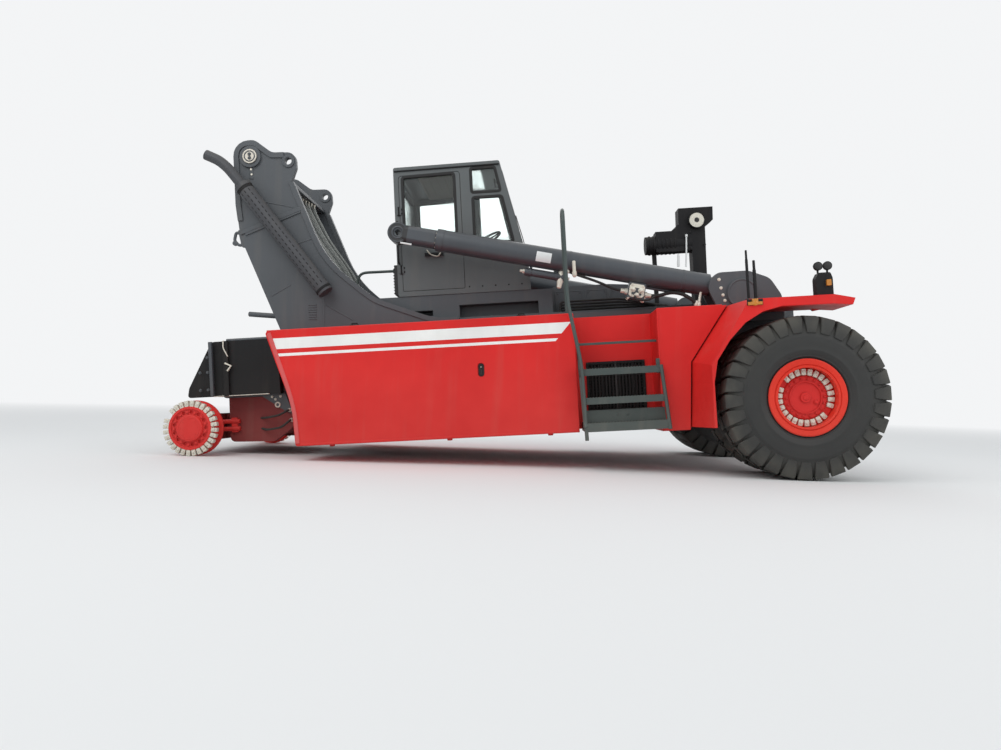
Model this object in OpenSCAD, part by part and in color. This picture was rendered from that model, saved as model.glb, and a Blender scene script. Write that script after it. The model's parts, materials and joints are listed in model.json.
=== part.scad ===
// Reach stacker carrier as it ships: boom, spreader, counterweight and steer wheels are off.
// It stands nose-up on its drive tyres and its bare steer hubs.
// Everything is drawn level, x forward, z up, from the floor under the drive axle, and then placed.
// One side is drawn, at minus y, and mirrored.

/* [Stance] */
// Distance between the drive axle and the steer axle
wheelbase = 6440; // [6360:20:6560]
// Width over the outer drive tyres
overall_w = 4150; // [4110:10:4250]

/* [Drive wheels] */
// Radius of a drive tyre over its lugs
tyre_r = 810; // [790:5:825]
// Width of a drive tyre
tyre_w = 500; // [480:5:515]
// Clear space between twin tyres
twin_gap = 65; // [50:5:80]
// Height of the shoulder lugs
lug_h = 30; // [20:2:36]
// Lugs round one shoulder
lug_n = 30; // [24:1:34]
// Radius of the bead seat
rim_r = 318; // [310:2:326]
// Wedge clamps round a drive hub
clamp_n = 26; // [20:1:28]

/* [Steer axle] */
// Radius of a bare steer hub over its wedge ring
hub_r = 305; // [295:5:315]
// Distance from the centreline to a kingpin
kingpin_y = 1080; // [1070:5:1110]
// Length of the steering lever
lever_l = 200; // [190:2:206]
// Wedge clamps round a steer hub
wedge_n = 28; // [22:1:30]

/* [Frame] */
// Half width over the frame plates
frame_y = 820; // [800:5:830]
// Thickness of a frame plate
plate_t = 60; // [40:5:70]
// Height of the frame top
frame_top = 1900; // [1880:5:1910]
// Radius of the boom pivot pin
pivot_r = 70; // [55:1:80]
// Radius of the hole in the tower horn
horn_r = 42; // [34:1:50]

/* [Body] */
// Distance from the centreline to a tank's outer face
tank_y = 1575; // [1540:5:1590]
// Height of the tank and cover tops
tank_top = 1805; // [1780:5:1830]
// Height of the tank undersides
tank_low = 562; // [540:2:600]
// Width of the ladder bay
bay_w = 860; // [820:10:880]
// Bars in a grille
bar_n = 15; // [9:1:19]
// Width of one fender
fender_w = 510; // [480:5:512]
// Thickness of the fender box
fender_t = 70; // [50:5:75]

/* [Cab] */
// Half width of the cab
cab_y = 650; // [620:5:670]
// Thickness of the cab walls
cab_t = 60; // [50:2:70]
// Thickness of the panes
pane_t = 8; // [6:1:12]

/* [Lift cylinders] */
// Distance from the centreline to a lift cylinder
cyl_y = 1000; // [996:2:1010]
// Outer radius of the cylinder tube
tube_r = 124; // [118:1:127]
// Radius of the rod
rod_r = 92; // [82:1:96]
// Closed length from foot pin to rod eye
cyl_l = 3870; // [3850:10:3900]
// Angle above level at which the cylinder lies
cyl_a = 13; // [12.4:0.2:13.6]
// Radius of the foot pin
foot_pin_r = 60; // [50:1:70]
// Radius of the bore in the rod eye
eye_bore_r = 50; // [40:1:60]

/* [Hidden] */
$fn = 64;
run_gap = 0.3; // between pieces that turn or slide in each other
e = 1; // overlap of a cutter past a face
axle_z = tyre_r;
pitch = asin((tyre_r - hub_r) / wheelbase);
place_x = (wheelbase * cos(pitch) + hub_r - tyre_r) / 2 + tyre_r * sin(pitch);
place_z = tyre_r * (1 - cos(pitch));
plate_in = frame_y - plate_t;

// Frame colours
grey = [0.27, 0.29, 0.31];
dark = [0.12, 0.12, 0.13];
red = [0.8, 0.18, 0.17];

module placed() {
    translate([place_x, 0, place_z]) rotate([0, -pitch, 0]) children();
}
module left() { mirror([0, 1, 0]) children(); }
module both() { children(); left() children(); }

// Points of one corner at b, rounded with radius r
function unit(v) = v / norm(v);
function corner(a, b, c, r, n) = r == 0 ? [b] :
    let (
        u = unit(a - b), v = unit(c - b),
        half = acos(u * v) / 2,
        o = b + unit(u + v) * (r / sin(half)),
        s = b + u * (r / tan(half)) - o, f = b + v * (r / tan(half)) - o,
        a0 = atan2(s[1], s[0]), turn = atan2(s[0] * f[1] - s[1] * f[0], s * f)
    ) [for (i = [0:n]) o + r * [cos(a0 + turn * i / n), sin(a0 + turn * i / n)]];
// Closed outline from rows of [x, z, corner radius]
function outline(rows, n = 5) = let (k = len(rows))
    [for (i = [0:k - 1])
        let (a = rows[(i + k - 1) % k], b = rows[i], c = rows[(i + 1) % k])
        each corner([a[0], a[1]], [b[0], b[1]], [c[0], c[1]], b[2], n)];

// Side view outline as a slab from y0 to y1
module slab(y0, y1) {
    translate([0, y1, 0]) rotate([90, 0, 0]) linear_extrude(y1 - y0) children();
}
module block(x, y, z) {
    translate([x[0], y[0], z[0]]) cube([x[1] - x[0], y[1] - y[0], z[1] - z[0]]);
}
// Cylinder along y between two y values
module rod_y(x, z, r, y0, y1) {
    translate([x, y1, z]) rotate([90, 0, 0]) cylinder(h = y1 - y0, r = r);
}
// Straight tube between two points
module bar(a, b, r, n = 16) {
    d = b - a;
    translate(a) rotate([0, acos(d[2] / norm(d)), atan2(d[1], d[0])])
        cylinder(h = norm(d), r = r, $fn = n);
}
// Route with each inner point rounded off over a length d
function bends(p, d, n = 4) = [
    p[0],
    for (i = [1:len(p) - 2])
        let (a = p[i] + unit(p[i - 1] - p[i]) * d, c = p[i] + unit(p[i + 1] - p[i]) * d)
        for (k = [0:n]) let (t = k / n) (1 - t) * (1 - t) * a + 2 * t * (1 - t) * p[i] + t * t * c,
    p[len(p) - 1]
];
// Tube along a route; side is a direction that the route never takes
module tube(route, r, side, n = 12) {
    k = len(route);
    polyhedron(
        points = [for (i = [0:k - 1])
            let (
                t = unit(route[min(i + 1, k - 1)] - route[max(i - 1, 0)]),
                u = unit(cross(side, t)), v = cross(t, u)
            ) for (j = [0:n - 1]) route[i] + r * (cos(360 * j / n) * u + sin(360 * j / n) * v)],
        faces = [
            [for (j = [0:n - 1]) j],
            [for (j = [n - 1:-1:0]) (k - 1) * n + j],
            for (i = [0:k - 2], j = [0:n - 1]) let (a = i * n + j, b = i * n + (j + 1) % n)
                each [[a, a + n, b], [b, a + n, b + n]]
        ]
    );
}
// Solid between a bent band at y0 and another at y1; a band's second half runs back along its first
module loft(y0, a, y1, b) {
    n = len(a);
    polyhedron(
        points = [for (p = a) [p[0], y0, p[1]], for (p = b) [p[0], y1, p[1]]],
        faces = [
            for (i = [0:n / 2 - 2]) let (j = n - 1 - i) each [[i, i + 1, j - 1], [i, j - 1, j]],
            for (i = [0:n / 2 - 2]) let (j = n - 1 - i)
                each [[n + j - 1, n + i + 1, n + i], [n + j, n + j - 1, n + i]],
            for (i = [0:n - 1]) let (j = (i + 1) % n) each [[i, n + i, j], [j, n + i, n + j]]
        ]
    );
}

// Frame

pivot = [-5849, 3962];
horn = [-5401, 3884];
frame_low = 950;
frame_front = 330;
axle_seat = axle_z + 230;
// x, z, corner radius
FRAME = [
    [-6300, 1130, 60], [-6300, 1640, 80], [-5480, 1640, 120], [-6010, 3020, 250], [-6048, 3400, 300],
    [-6052, pivot[1] + 198, 180], [-5790, pivot[1] + 198, 130], [-5590, 3996, 130], [-5312, 3988, 105],
    [-5308, 3800, 60], [-5375, 3630, 60], [-5029, 2685, 1300], [-4461, 2181, 800],
    [-3750, frame_top, 800], [frame_front, frame_top, 60], [frame_front, 1250, 80],
    [180, axle_seat, 0], [-320, axle_seat, 60], [-620, frame_low, 100], [-5200, frame_low, 150],
    [-5420, 1130, 100]
];
// Edge strip that runs down the tower's front edge: x, z, corner radius
EDGE = [
    [-5351, 3639, 0], [-5007, 2700, 1320], [-4447, 2203, 820], [-3745, frame_top + 26, 820],
    [-3480, frame_top + 26, 0], [-3480, frame_top - 30, 0], [-3760, frame_top - 30, 780],
    [-4478, 2155, 780], [-5058, 2665, 1270], [-5407, 3618, 0]
];
// Raised rim round the tower's rear edge and top: x, z, corner radius
RIM = [
    [-6029, 3210, 0], [-6048, 3400, 300], [-6052, pivot[1] + 198, 180], [-5790, pivot[1] + 198, 130],
    [-5590, 3996, 130], [-5450, 3992, 0], [-5450, 3930, 0], [-5612, 3934, 130],
    [-5812, pivot[1] + 134, 100], [-5990, pivot[1] + 134, 110], [-5985, 3400, 200], [-5967, 3210, 0]
];
rim_t = 14;
boss_t = 26;

module frame_plates() placed() color(grey) both() difference() {
    union() {
        slab(-frame_y, -plate_in) polygon(outline(FRAME));
        slab(-frame_y - 12, -plate_in + 12) polygon(outline(EDGE));
        slab(-frame_y - rim_t, -frame_y + e) polygon(outline(RIM));
        // flat strap across the plate under the exhaust guard
        slab(-frame_y - rim_t, -frame_y + e)
            polygon([[-6000, 3042], [-5268, 3288], [-5283, 3334], [-6010, 3090]]);
        rod_y(pivot[0], pivot[1], pivot_r + 58, -frame_y - boss_t, -plate_in + boss_t);
        rod_y(horn[0], horn[1], horn_r + 34, -frame_y - 12, -plate_in + 12);
    }
    rod_y(pivot[0], pivot[1], pivot_r, -frame_y - boss_t - e, -plate_in + boss_t + e);
    rod_y(horn[0], horn[1], horn_r, -frame_y - 12 - e, -plate_in + 12 + e);
}

// Boom pivot pins with their cap plates
pin_reach = 160; // free end that the boom's foot turns on
module pivot_pins() placed() color([0.75, 0.74, 0.7]) both() {
    rod_y(pivot[0], pivot[1], pivot_r - run_gap, -frame_y - boss_t, -plate_in + boss_t);
    rod_y(pivot[0], pivot[1], pivot_r - 2, -plate_in + boss_t, -plate_in + boss_t + pin_reach);
    rod_y(pivot[0], pivot[1], pivot_r + 14, -frame_y - boss_t - 16, -frame_y - boss_t);
}

// Boxes that tie the frame plates together: x from, x to, z from, z to
TIES = [
    [-5560, -5160, 1150, 1800],
    [-2900, -2600, 1000, 1800],
    [-440, 280, 1180, 1760]
];
// Shelf between the towers: x from, x to, underside
SHELF = [-5600, -5412, 3655];
module cross_members() placed() color(grey) {
    for (t = TIES) difference() {
        block([t[0], t[1]], [-plate_in, plate_in], [t[2], t[3]]);
        block([t[0] + 30, t[1] - 30], [-plate_in + 60, plate_in - 60], [t[2] - e, t[3] - 40]);
    }
    slab(-plate_in, plate_in) polygon(outline([
        [SHELF[0] - 110, 3400, 0], [SHELF[0] - 60, 3400, 0], [SHELF[0], SHELF[2], 60],
        [SHELF[1], SHELF[2], 0], [SHELF[1], SHELF[2] + 50, 20], [SHELF[0] - 40, SHELF[2] + 50, 60]
    ]));
}

// Tail frame that carries the counterweight
tail_y = 1020;
tail_x = -6320;
tail_t = 30;
tail_z = [1150, 1780];
// x, z, corner radius
TAIL = [
    [-5540, tail_z[0], 0], [-5560, tail_z[1], 40], [tail_x, tail_z[1], 60], [-6600, 1260, 60],
    [-6620, tail_z[0], 30]
];
module tail_frame() placed() color(dark) {
    in_y = tail_y - tail_t;
    both() {
        slab(-tail_y, -in_y) polygon(outline(TAIL));
        // upright rib, front and rear webs, and the top beside the towers
        block([-6180, -6120], [-tail_y - 40, -tail_y], tail_z);
        block([-5600, -5600 + tail_t], [-in_y, -frame_y], [tail_z[0], tail_z[1] - tail_t]);
        block([tail_x - 10, tail_x + 20], [-in_y, -plate_in], [tail_z[0], 1660]);
        block([-5720, -5580], [-in_y, -frame_y - 20], [tail_z[1] - tail_t, tail_z[1]]);
    }
    block([tail_x + 60, -5720], [-in_y, in_y], [tail_z[1] - tail_t, tail_z[1]]);
    block([tail_x + 20, tail_x + 60], [-in_y, in_y], [1640, tail_z[1] - 10]);
}

engine_l = 1900;
module engine() placed() color(dark)
    block([TIES[0][1], TIES[0][1] + engine_l], [-420, 420], [1080, 1820]);

deck_t = 26;
module deck() placed() color(grey) {
    block([-4070, -3400], [-plate_in + 12, plate_in - 12], [frame_top, frame_top + deck_t]);
    block([-3480, -660], [-plate_in - 20, plate_in + 20], [frame_top, frame_top + deck_t]);
}

// Hood over the valves in front of the cab: x, z, corner radius
module valve_hood() placed() color(dark) {
    z0 = frame_top + deck_t;
    slab(-480, 480) polygon(outline([
        [-2378, z0, 0], [-2378, 2262, 30], [-1700, 2262, 40], [-1350, 2232, 40], [-1350, z0, 0]
    ]));
}

// Drive axle

track_out = overall_w / 2;
tyre_c = [track_out - tyre_w * 1.5 - twin_gap, track_out - tyre_w / 2]; // inner, outer
hub_in = tyre_c[0] - tyre_w / 2 + 50;
hub_out = tyre_c[1] + 130;
spindle_r = 150;
drum_r = rim_r - 28;

// Axle lying along y: local z points outward on the right-hand side
module on_drive() { translate([0, 0, axle_z]) rotate([90, 0, 0]) children(); }

module drive_axle() placed() color([0.45, 0.12, 0.12]) {
    both() on_drive() rotate_extrude() polygon([
        [0, 0], [340, 0], [335, 60], [300, 170], [230, 260], [190, 330], [190, hub_in - 60],
        [250, hub_in - 50], [250, hub_in - run_gap], [spindle_r, hub_in - run_gap],
        [spindle_r, hub_in + 340], [0, hub_in + 340]
    ]);
    both() block([-280, 140], [-frame_y, -plate_in + 60], [axle_z + 100, axle_seat]);
}

// Half width w, lug roots at r - lug_h: radius, offset, corner radius
carcass_r = tyre_r - lug_h;
function tyre_half(w) = [
    [rim_r, 0.76 * w, 0], [rim_r + 66, 0.8 * w, 20], [rim_r + 130, w, 60],
    [carcass_r - 150, w, 60], [carcass_r, 0.78 * w, 60]
];
module tyre(c) translate([0, 0, c]) {
    w = tyre_w / 2;
    h = tyre_half(w);
    rotate_extrude() polygon(outline(concat(
        h, [for (i = [len(h) - 1:-1:0]) [h[i][0], -h[i][1], h[i][2]]]
    ), 3));
    for (s = [0, 1]) mirror([0, 0, s]) rotate([0, 0, s * 180 / lug_n]) intersection() {
        rotate_extrude() polygon([
            [carcass_r - 150, 0.8 * w], [carcass_r - 150, 0.99 * w], [carcass_r - 40, 0.97 * w],
            [tyre_r, 0.86 * w], [tyre_r, 0.1 * w], [carcass_r - 20, 0.1 * w], [carcass_r - 20, 0.7 * w]
        ]);
        for (i = [0:lug_n - 1]) rotate([0, 0, i * 360 / lug_n]) linear_extrude(w)
            polygon([[carcass_r - 160, -54], [tyre_r + 9, -66], [tyre_r + 9, 62], [carcass_r - 160, 50]]);
    }
}
module drive_tyres() placed() color([0.16, 0.17, 0.17]) on_drive()
    for (c = tyre_c) tyre(c);
module drive_tyres_right() drive_tyres();
module drive_tyres_left() left() drive_tyres();

flange_r = rim_r + 62;
bead = 0.76 * tyre_w / 2 + 6;
module rim(c) translate([0, 0, c]) rotate_extrude() polygon([
    [drum_r + run_gap, -bead - 20], [flange_r, -bead - 20], [flange_r, -bead - 4],
    [rim_r - run_gap, -bead], [rim_r - run_gap, bead], [flange_r, bead + 10], [flange_r, bead + 26],
    [flange_r - 12, bead + 32], [rim_r + 6, bead + 30], [rim_r, bead + 22], [rim_r - 8, bead + 36],
    [drum_r + run_gap, bead + 36]
]);
module drive_rims() placed() color([0.85, 0.22, 0.16]) on_drive() for (c = tyre_c) rim(c);
module drive_rims_right() drive_rims();
module drive_rims_left() left() drive_rims();

// Wedge clamps on a circle, with two gaps left free
module clamps(n, r0, r1, z0, z1, w, skip) {
    for (i = [0:n - 1]) if (len(search(i, skip)) == 0) rotate([0, 0, (i + 0.5) * 360 / n])
        translate([r0, -w / 2, z0]) cube([r1 - r0, w, z1 - z0]);
}
module drive_hub() placed() color(red) on_drive() difference() {
    union() {
        rotate_extrude() polygon([
            [0, hub_in], [drum_r - 30, hub_in], [drum_r, hub_in + 30], [drum_r, hub_out - 20],
            [drum_r - 8, hub_out - 6], [215, hub_out - 6], [210, hub_out + 8], [200, hub_out + 14],
            [42, hub_out + 14], [36, hub_out + 26], [0, hub_out + 26]
        ]);
        clamps(clamp_n, 222, drum_r - 8, hub_out - 10, hub_out + 16, 40, [10, 23]);
    }
    translate([0, 0, hub_in - e]) cylinder(h = 340 + 2 * e + run_gap, r = spindle_r + run_gap);
}
module drive_hub_right() drive_hub();
module drive_hub_left() left() drive_hub();

// Steer axle

fork_r = 92;
fork_z = [92, 150]; // from the axle height to a fork plate's faces
kingpin_r = 45;
hub_face = 100; // from the kingpin to the hub's inner face
steer_x = -wheelbase;
link_z = 855;
steer_line = steer_x - (lever_l + lever_l * cos(50)) / 2;

module steer_axle() placed() color([0.5, 0.13, 0.13]) {
    block([steer_x - 100, steer_x + 110], [-780, 780], [axle_z - 150, axle_z + 150]);
    both() difference() {
        union() {
            for (s = [0, 1]) translate([0, 0, axle_z]) mirror([0, 0, s]) {
                translate([steer_x, -kingpin_y, fork_z[0]]) cylinder(h = fork_z[1] - fork_z[0], r = fork_r);
                block([steer_x - fork_r, steer_x + fork_r], [-kingpin_y, -770], fork_z);
            }
            translate([steer_x, -kingpin_y, axle_z - 175]) cylinder(h = 350, r = kingpin_r);
        }
    }
    // cradle under the tail of the frame
    block([steer_x + 110, -6220], [-640, 640], [680, 940]);
    difference() {
        slab(-frame_y, frame_y) polygon(outline([
            [-6220, 620, 60], [-6220, 1130, 0], [-5460, 1130, 0], [-5460, 760, 120], [-5700, 600, 80]
        ]));
        block([-6100, -5580], [-plate_in + 20, plate_in - 20], [560, 1060]);
    }
}

module steer_cylinder() placed() color(dark) {
    difference() {
        union() {
            rod_y(steer_line, link_z, 52, -330, 330);
            both() block([steer_line, steer_x - 100], [-300, -240], [link_z - 40, link_z + 40]);
        }
        rod_y(steer_line, link_z, 30 + run_gap, -340, 340);
    }
}

// Through rod with the two tie links on its ends
module steer_rod() placed() color([0.7, 0.7, 0.7]) {
    rod_y(steer_line, link_z, 30, -600, 600);
    both() difference() {
        union() {
            block([steer_line - 28, steer_line + 28], [-kingpin_y, -590], [link_z - 20, link_z + 20]);
            for (y = [-620, -kingpin_y]) translate([steer_line, y, link_z - 20]) cylinder(h = 40, r = 40);
        }
        translate([steer_line, -kingpin_y, link_z - 30]) cylinder(h = 60, r = 18);
    }
}

module knuckle() placed() color([0.5, 0.13, 0.13]) difference() {
    union() {
        translate([steer_x, -kingpin_y, axle_z - fork_z[0] + 1])
            cylinder(h = 2 * fork_z[0] - 2, r = 84);
        rod_y(steer_x, axle_z, 70, -kingpin_y - 262, -kingpin_y);
        block([steer_x - lever_l, steer_x], [-kingpin_y - 34, -kingpin_y + 34], [axle_z - 15, link_z - 26]);
        translate([steer_x - lever_l, -kingpin_y, axle_z - 15]) cylinder(h = link_z - 11 - axle_z, r = 42);
    }
    translate([steer_x, -kingpin_y, axle_z - 200]) cylinder(h = 400, r = kingpin_r + run_gap);
}
module knuckle_right() knuckle();
module knuckle_left() left() knuckle();

module steer_hub() placed() color(red)
    translate([steer_x, -kingpin_y - hub_face, axle_z]) rotate([90, 0, 0]) difference() {
        union() {
            rotate_extrude() polygon([
                [0, 0], [250, 0], [hub_r, 20], [hub_r, 50], [250, 56], [244, 190], [236, 214],
                [210, 214], [206, 200], [150, 200], [145, 222], [135, 228], [0, 228]
            ]);
            clamps(wedge_n, 234, hub_r - 4, 158, 206, 40, [11]);
        }
        translate([0, 0, -e]) cylinder(h = 162 + e + run_gap, r = 70 + run_gap);
        for (i = [0:12]) rotate([0, 0, i * 360 / 13]) translate([178, 0, 180]) cylinder(h = 40, r = 20);
    }
module steer_hub_right() steer_hub();
module steer_hub_left() left() steer_hub();

// Side tanks, ladder bays and covers

bay_x = [-2200, -2200 + bay_w];
// x, z, corner radius
TANK = [
    [bay_x[0], tank_low, 0], [-5215, tank_low, 30], [-5240, 1000, 300], [-5500, tank_top, 30],
    [bay_x[0], tank_top, 0]
];
latch = [-3200, 1270];
module tanks() placed() color(red) both() difference() {
    slab(-tank_y, -frame_y) polygon(outline(TANK));
    for (dz = [-38, 38]) rod_y(latch[0], latch[1] + dz, 36, -tank_y - e, -tank_y + 30);
    block([latch[0] - 36, latch[0] + 36], [-tank_y - e, -tank_y + 30], [latch[1] - 38, latch[1] + 38]);
}

bay_depth = 400;
bay_y = tank_y - bay_depth;
grille_x = [bay_x[0] + 130, bay_x[1] - 90];
grille_z = [680, 1305];
grille_d = 60;
module ladder_bays() placed() color(red) both() difference() {
    block(bay_x, [-bay_y, -frame_y], [tank_low + 20, tank_top]);
    block(grille_x, [-bay_y - e, -bay_y + grille_d], grille_z);
}
module grilles() placed() color(dark) both() {
    difference() {
        block(grille_x, [-bay_y - 14, -bay_y + grille_d], grille_z);
        block([grille_x[0] + 26, grille_x[1] - 26], [-bay_y - 14 - e, -bay_y + grille_d - 12],
            [grille_z[0] + 26, grille_z[1] - 26]);
    }
    w = grille_x[1] - grille_x[0] - 52;
    for (i = [1:bar_n]) block(
        [grille_x[0] + 26 + i * w / (bar_n + 1) - 9, grille_x[0] + 26 + i * w / (bar_n + 1) + 9],
        [-bay_y - 8, -bay_y + grille_d - 10], [grille_z[0] + 20, grille_z[1] - 20]);
}

// Line where the front cover meets the fender: x, z
GAP = [[-tyre_r - 246, tank_low - 30], [-tyre_r - 200, tyre_r + 426], [200 - tyre_r, tank_top]];
cover_y = 1600;
module front_covers() placed() color(red) both() slab(-cover_y, -frame_y)
    polygon(concat([[bay_x[1], tank_top], [bay_x[1], tank_low - 30]], GAP));

// Fender box: its outer band widens where it slants, and its inner edge follows the tyre
fender_in = cover_y - 40;
fender_out = fender_in + fender_w;
fender_top = 2 * tyre_r + 180;
under = fender_top - fender_t;
OUT = [
    [-tyre_r - 110, 560], [-tyre_r - 101, 1000], [-tyre_r - 101, tyre_r + 364], [30 - tyre_r, tyre_r + 567],
    [170 - tyre_r, tyre_r + 784], [303 - tyre_r, fender_top], [610 - tyre_r, fender_top],
    [309, fender_top], [506, fender_top - 46]
];
FAR = [
    [-tyre_r - 234, 560], [-tyre_r - 200, 1000], [-tyre_r - 188, tyre_r + 426], [-tyre_r - 50, tyre_r + 622],
    [80 - tyre_r, tyre_r + 806], [210 - tyre_r, fender_top], [610 - tyre_r, fender_top],
    [309, fender_top], [506, fender_top - 46]
];
INN = [
    [480, under - 40], [300, under - 22], [610 - tyre_r, under - 17], [430 - tyre_r, under - 58],
    [250 - tyre_r, under - 160], [95 - tyre_r, tyre_r + 602], [-tyre_r - 40, tyre_r + 405],
    [-tyre_r - 83, 1000], [-tyre_r - 80, 560]
];
module fenders() placed() color(red) both() {
    loft(-fender_out, concat(OUT, INN), -fender_in, concat(FAR, INN));
    slab(-fender_in, -foot_y[1]) polygon([
        [-590, fender_top], [309, fender_top], [309, fender_top - 36], [-560, fender_top - 36]
    ]);
}

// Ladder: step depth grows downward. x from, x to, z, y outer, y inner, thickness
STEPS = [
    [-2186, bay_x[1], 1485, 1500, 1475, 25],
    [-2176, bay_x[1], 1180, 1660, 1560, 70],
    [-2160, bay_x[1] + 25, 880, 1710, 1610, 70],
    [-2150, bay_x[1] + 50, 610, 1760, 1610, 90],
    [-2150, bay_x[1] - 10, 610, 1612, bay_y, 90]
];
rail_r = 20;
module ladders() placed() color([0.2, 0.26, 0.25]) both() {
    for (s = STEPS) block([s[0], s[1]], [-s[3], -s[4]], [s[2] - s[5] / 2, s[2] + s[5] / 2]);
    // left stringer and handrail loop
    tube(bends([
        [-2140, -1756, 480], [-2150, -1700, 1256], [-2256, -1640, 1930], [-2256, -1640, 2920],
        [-2256, -1360, 2920], [-2256, -1360, tank_top]
    ], 135), rail_r, [1, 0, 0], 10);
    bar([-2150, -1756, 610], [-2166, -1480, 1500], rail_r, 10);
    bar([bay_x[1] + 50, -1756, 560], [bay_x[1] + 10, -1645, 1220], rail_r, 10);
}

// Lift cylinders

foot = [-330, 2031];
ear_gap = 9;
ear_t = 45;
foot_y = [cyl_y - tube_r - ear_gap - ear_t, cyl_y + tube_r + ear_gap + ear_t];
// x, z, corner radius
EAR = [
    [-550, 1700, 0], [-705, 2075, 160], [-600, 2214, 130], [-250, 2218, 220], [-20, 2125, 160],
    [96, 1930, 120], [110, 1700, 0]
];
// Round boss over the pin's end: centre and radius
boss = [-330, 1967, 165];
module foot_brackets() placed() color(grey) both() {
    for (y = [foot_y[0], foot_y[1] - ear_t]) difference() {
        slab(-y - ear_t, -y) polygon(outline(EAR));
        rod_y(foot[0], foot[1], foot_pin_r + run_gap, -y - ear_t - e, -y + e);
    }
    block([-550, 110], [-foot_y[1], -frame_y], [1660, 1800]);
    rod_y(foot[0], foot[1], foot_pin_r, -foot_y[1] - 20, -foot_y[0]);
    rod_y(boss[0], boss[1], boss[2], -foot_y[1] - 24, -foot_y[1]);
}

// Along the closed cylinder from its foot pin: local x runs up the rod, local z points down
module on_cylinder() {
    translate([foot[0], -cyl_y, foot[1]]) rotate([0, 180 + cyl_a, 0]) children();
}
module along(x0, x1, r) { translate([x0, 0, 0]) rotate([0, 90, 0]) cylinder(h = x1 - x0, r = r); }
foot_eye_r = 140;
tube_x = [360, 3400];
stroke = 2700;
gland = 24;
module lift_tube() placed() color([0.25, 0.27, 0.3]) on_cylinder() {
    difference() {
        union() {
            rotate([90, 0, 0]) translate([0, 0, -tube_r]) cylinder(h = 2 * tube_r, r = foot_eye_r);
            along(0, tube_x[0] + 20, 96);
            along(tube_x[0] - 30, tube_x[1], tube_r);
            along(tube_x[1] - 60, tube_x[1] + gland, tube_r + 4);
        }
        rotate([90, 0, 0]) translate([0, 0, -tube_r - e])
            cylinder(h = 2 * tube_r + 2 * e, r = foot_pin_r + run_gap);
        along(tube_x[0] + 80, tube_x[1] - 90, rod_r + 14);
        along(tube_x[1] - 100, tube_x[1] + gland + e, rod_r + run_gap);
    }
    // port block under the tube, and the pipe to it
    translate([1010, -60, tube_r - 10]) cube([190, 120, 180]);
    translate([1050, -80, tube_r + 50]) cube([110, 160, 80]);
    translate([560, 30, tube_r + 10]) rotate([0, 90, 0]) cylinder(h = 470, r = 18);
    translate([560, 12, tube_r - 10]) cube([36, 36, 38]);
}
module lift_tube_right() lift_tube();
module lift_tube_left() left() lift_tube();

eye_r = 118;
eye_w = 150;
shank_r = 108; // thick end of the rod between the gland and the eye
module lift_rod() placed() color([0.7, 0.7, 0.72]) on_cylinder() difference() {
    union() {
        along(tube_x[1] - 185 - stroke, cyl_l - 100, rod_r);
        along(tube_x[1] - 185 - stroke, tube_x[1] - 105 - stroke, rod_r + 12);
        intersection() {
            along(tube_x[1] + gland + 8, cyl_l - 60, shank_r);
            translate([0, -eye_w / 2 - 20, -200]) cube([cyl_l, eye_w + 40, 400]);
        }
        translate([cyl_l, 0, 0]) rotate([90, 0, 0]) translate([0, 0, -eye_w / 2])
            cylinder(h = eye_w, r = eye_r);
    }
    translate([cyl_l, 0, 0]) rotate([90, 0, 0]) translate([0, 0, -120]) cylinder(h = 240, r = eye_bore_r);
}
module lift_rod_right() lift_rod();
module lift_rod_left() left() lift_rod();

// Cab

cab_z = 2225;
// x, z, corner radius
CAB = [
    [-4200, cab_z, 20], [-4195, 3775, 24], [-2925, 3787, 24], [-2700, 2790, 60], [-2640, 2560, 60],
    [-2625, cab_z, 20]
];
CAB_IN = [
    [-4200 + cab_t, cab_z + cab_t, 0], [-4195 + cab_t, 3770 - cab_t, 30],
    [-2925 - 50, 3778 - cab_t, 30], [-2700 - cab_t, 2790, 60], [-2640 - cab_t, 2550, 40],
    [-2625 - cab_t, cab_z + cab_t, 0]
];
DOOR = [
    [-4140, cab_z + cab_t, 20], [-4140, 3670, 40], [-3400, 3688, 40], [-3400, cab_z + cab_t, 20]
];
DOOR_PANE = [[-4092, 2960, 40], [-4092, 3655, 40], [-3470, 3670, 40], [-3470, 2940, 40]];
SIDE_TOP = [[-3270, 3420, 30], [-3270, 3712, 30], [-2985, 3716, 30], [-2925, 3420, 30]];
SIDE_LOW = [[-3260, 2860, 40], [-3260, 3360, 30], [-2915, 3360, 30], [-2800, 2800, 40]];
// The left side has one tall window there
SIDE_ALL = [[-3270, 2860, 40], [-3270, 3712, 30], [-2985, 3716, 30], [-2800, 2800, 40]];
// Half widths and heights of the front, rear and roof windows
SCREEN_Y = cab_y - 90;
SCREEN_Z = [2700, 3690];
REAR_Y = cab_y - 110;
REAR_Z = [2900, 3640];
ROOF_Y = cab_y - 130;
ROOF_X = [-3900, -3150];
door_gap = 5;
module cab_shell() placed() color(grey) difference() {
    slab(-cab_y, cab_y) polygon(outline(CAB, 4));
    slab(-cab_y + cab_t, cab_y - cab_t) polygon(outline(CAB_IN, 4));
    slab(-cab_y - e, cab_y + e) polygon(outline(DOOR, 4));
    for (o = [SIDE_TOP, SIDE_LOW]) slab(-cab_y - e, 0) polygon(outline(o, 4));
    slab(0, cab_y + e) polygon(outline(SIDE_ALL, 4));
    // windscreen, rear window and roof window
    slab(-SCREEN_Y, SCREEN_Y) polygon([
        [-2700, SCREEN_Z[1]], [-2500, SCREEN_Z[0]], [-2900, SCREEN_Z[0]], [-3050, SCREEN_Z[1]]
    ]);
    block([-4300, -4100], [-REAR_Y, REAR_Y], REAR_Z);
    block(ROOF_X, [-ROOF_Y, ROOF_Y], [3650, 3900]);
}
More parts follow.
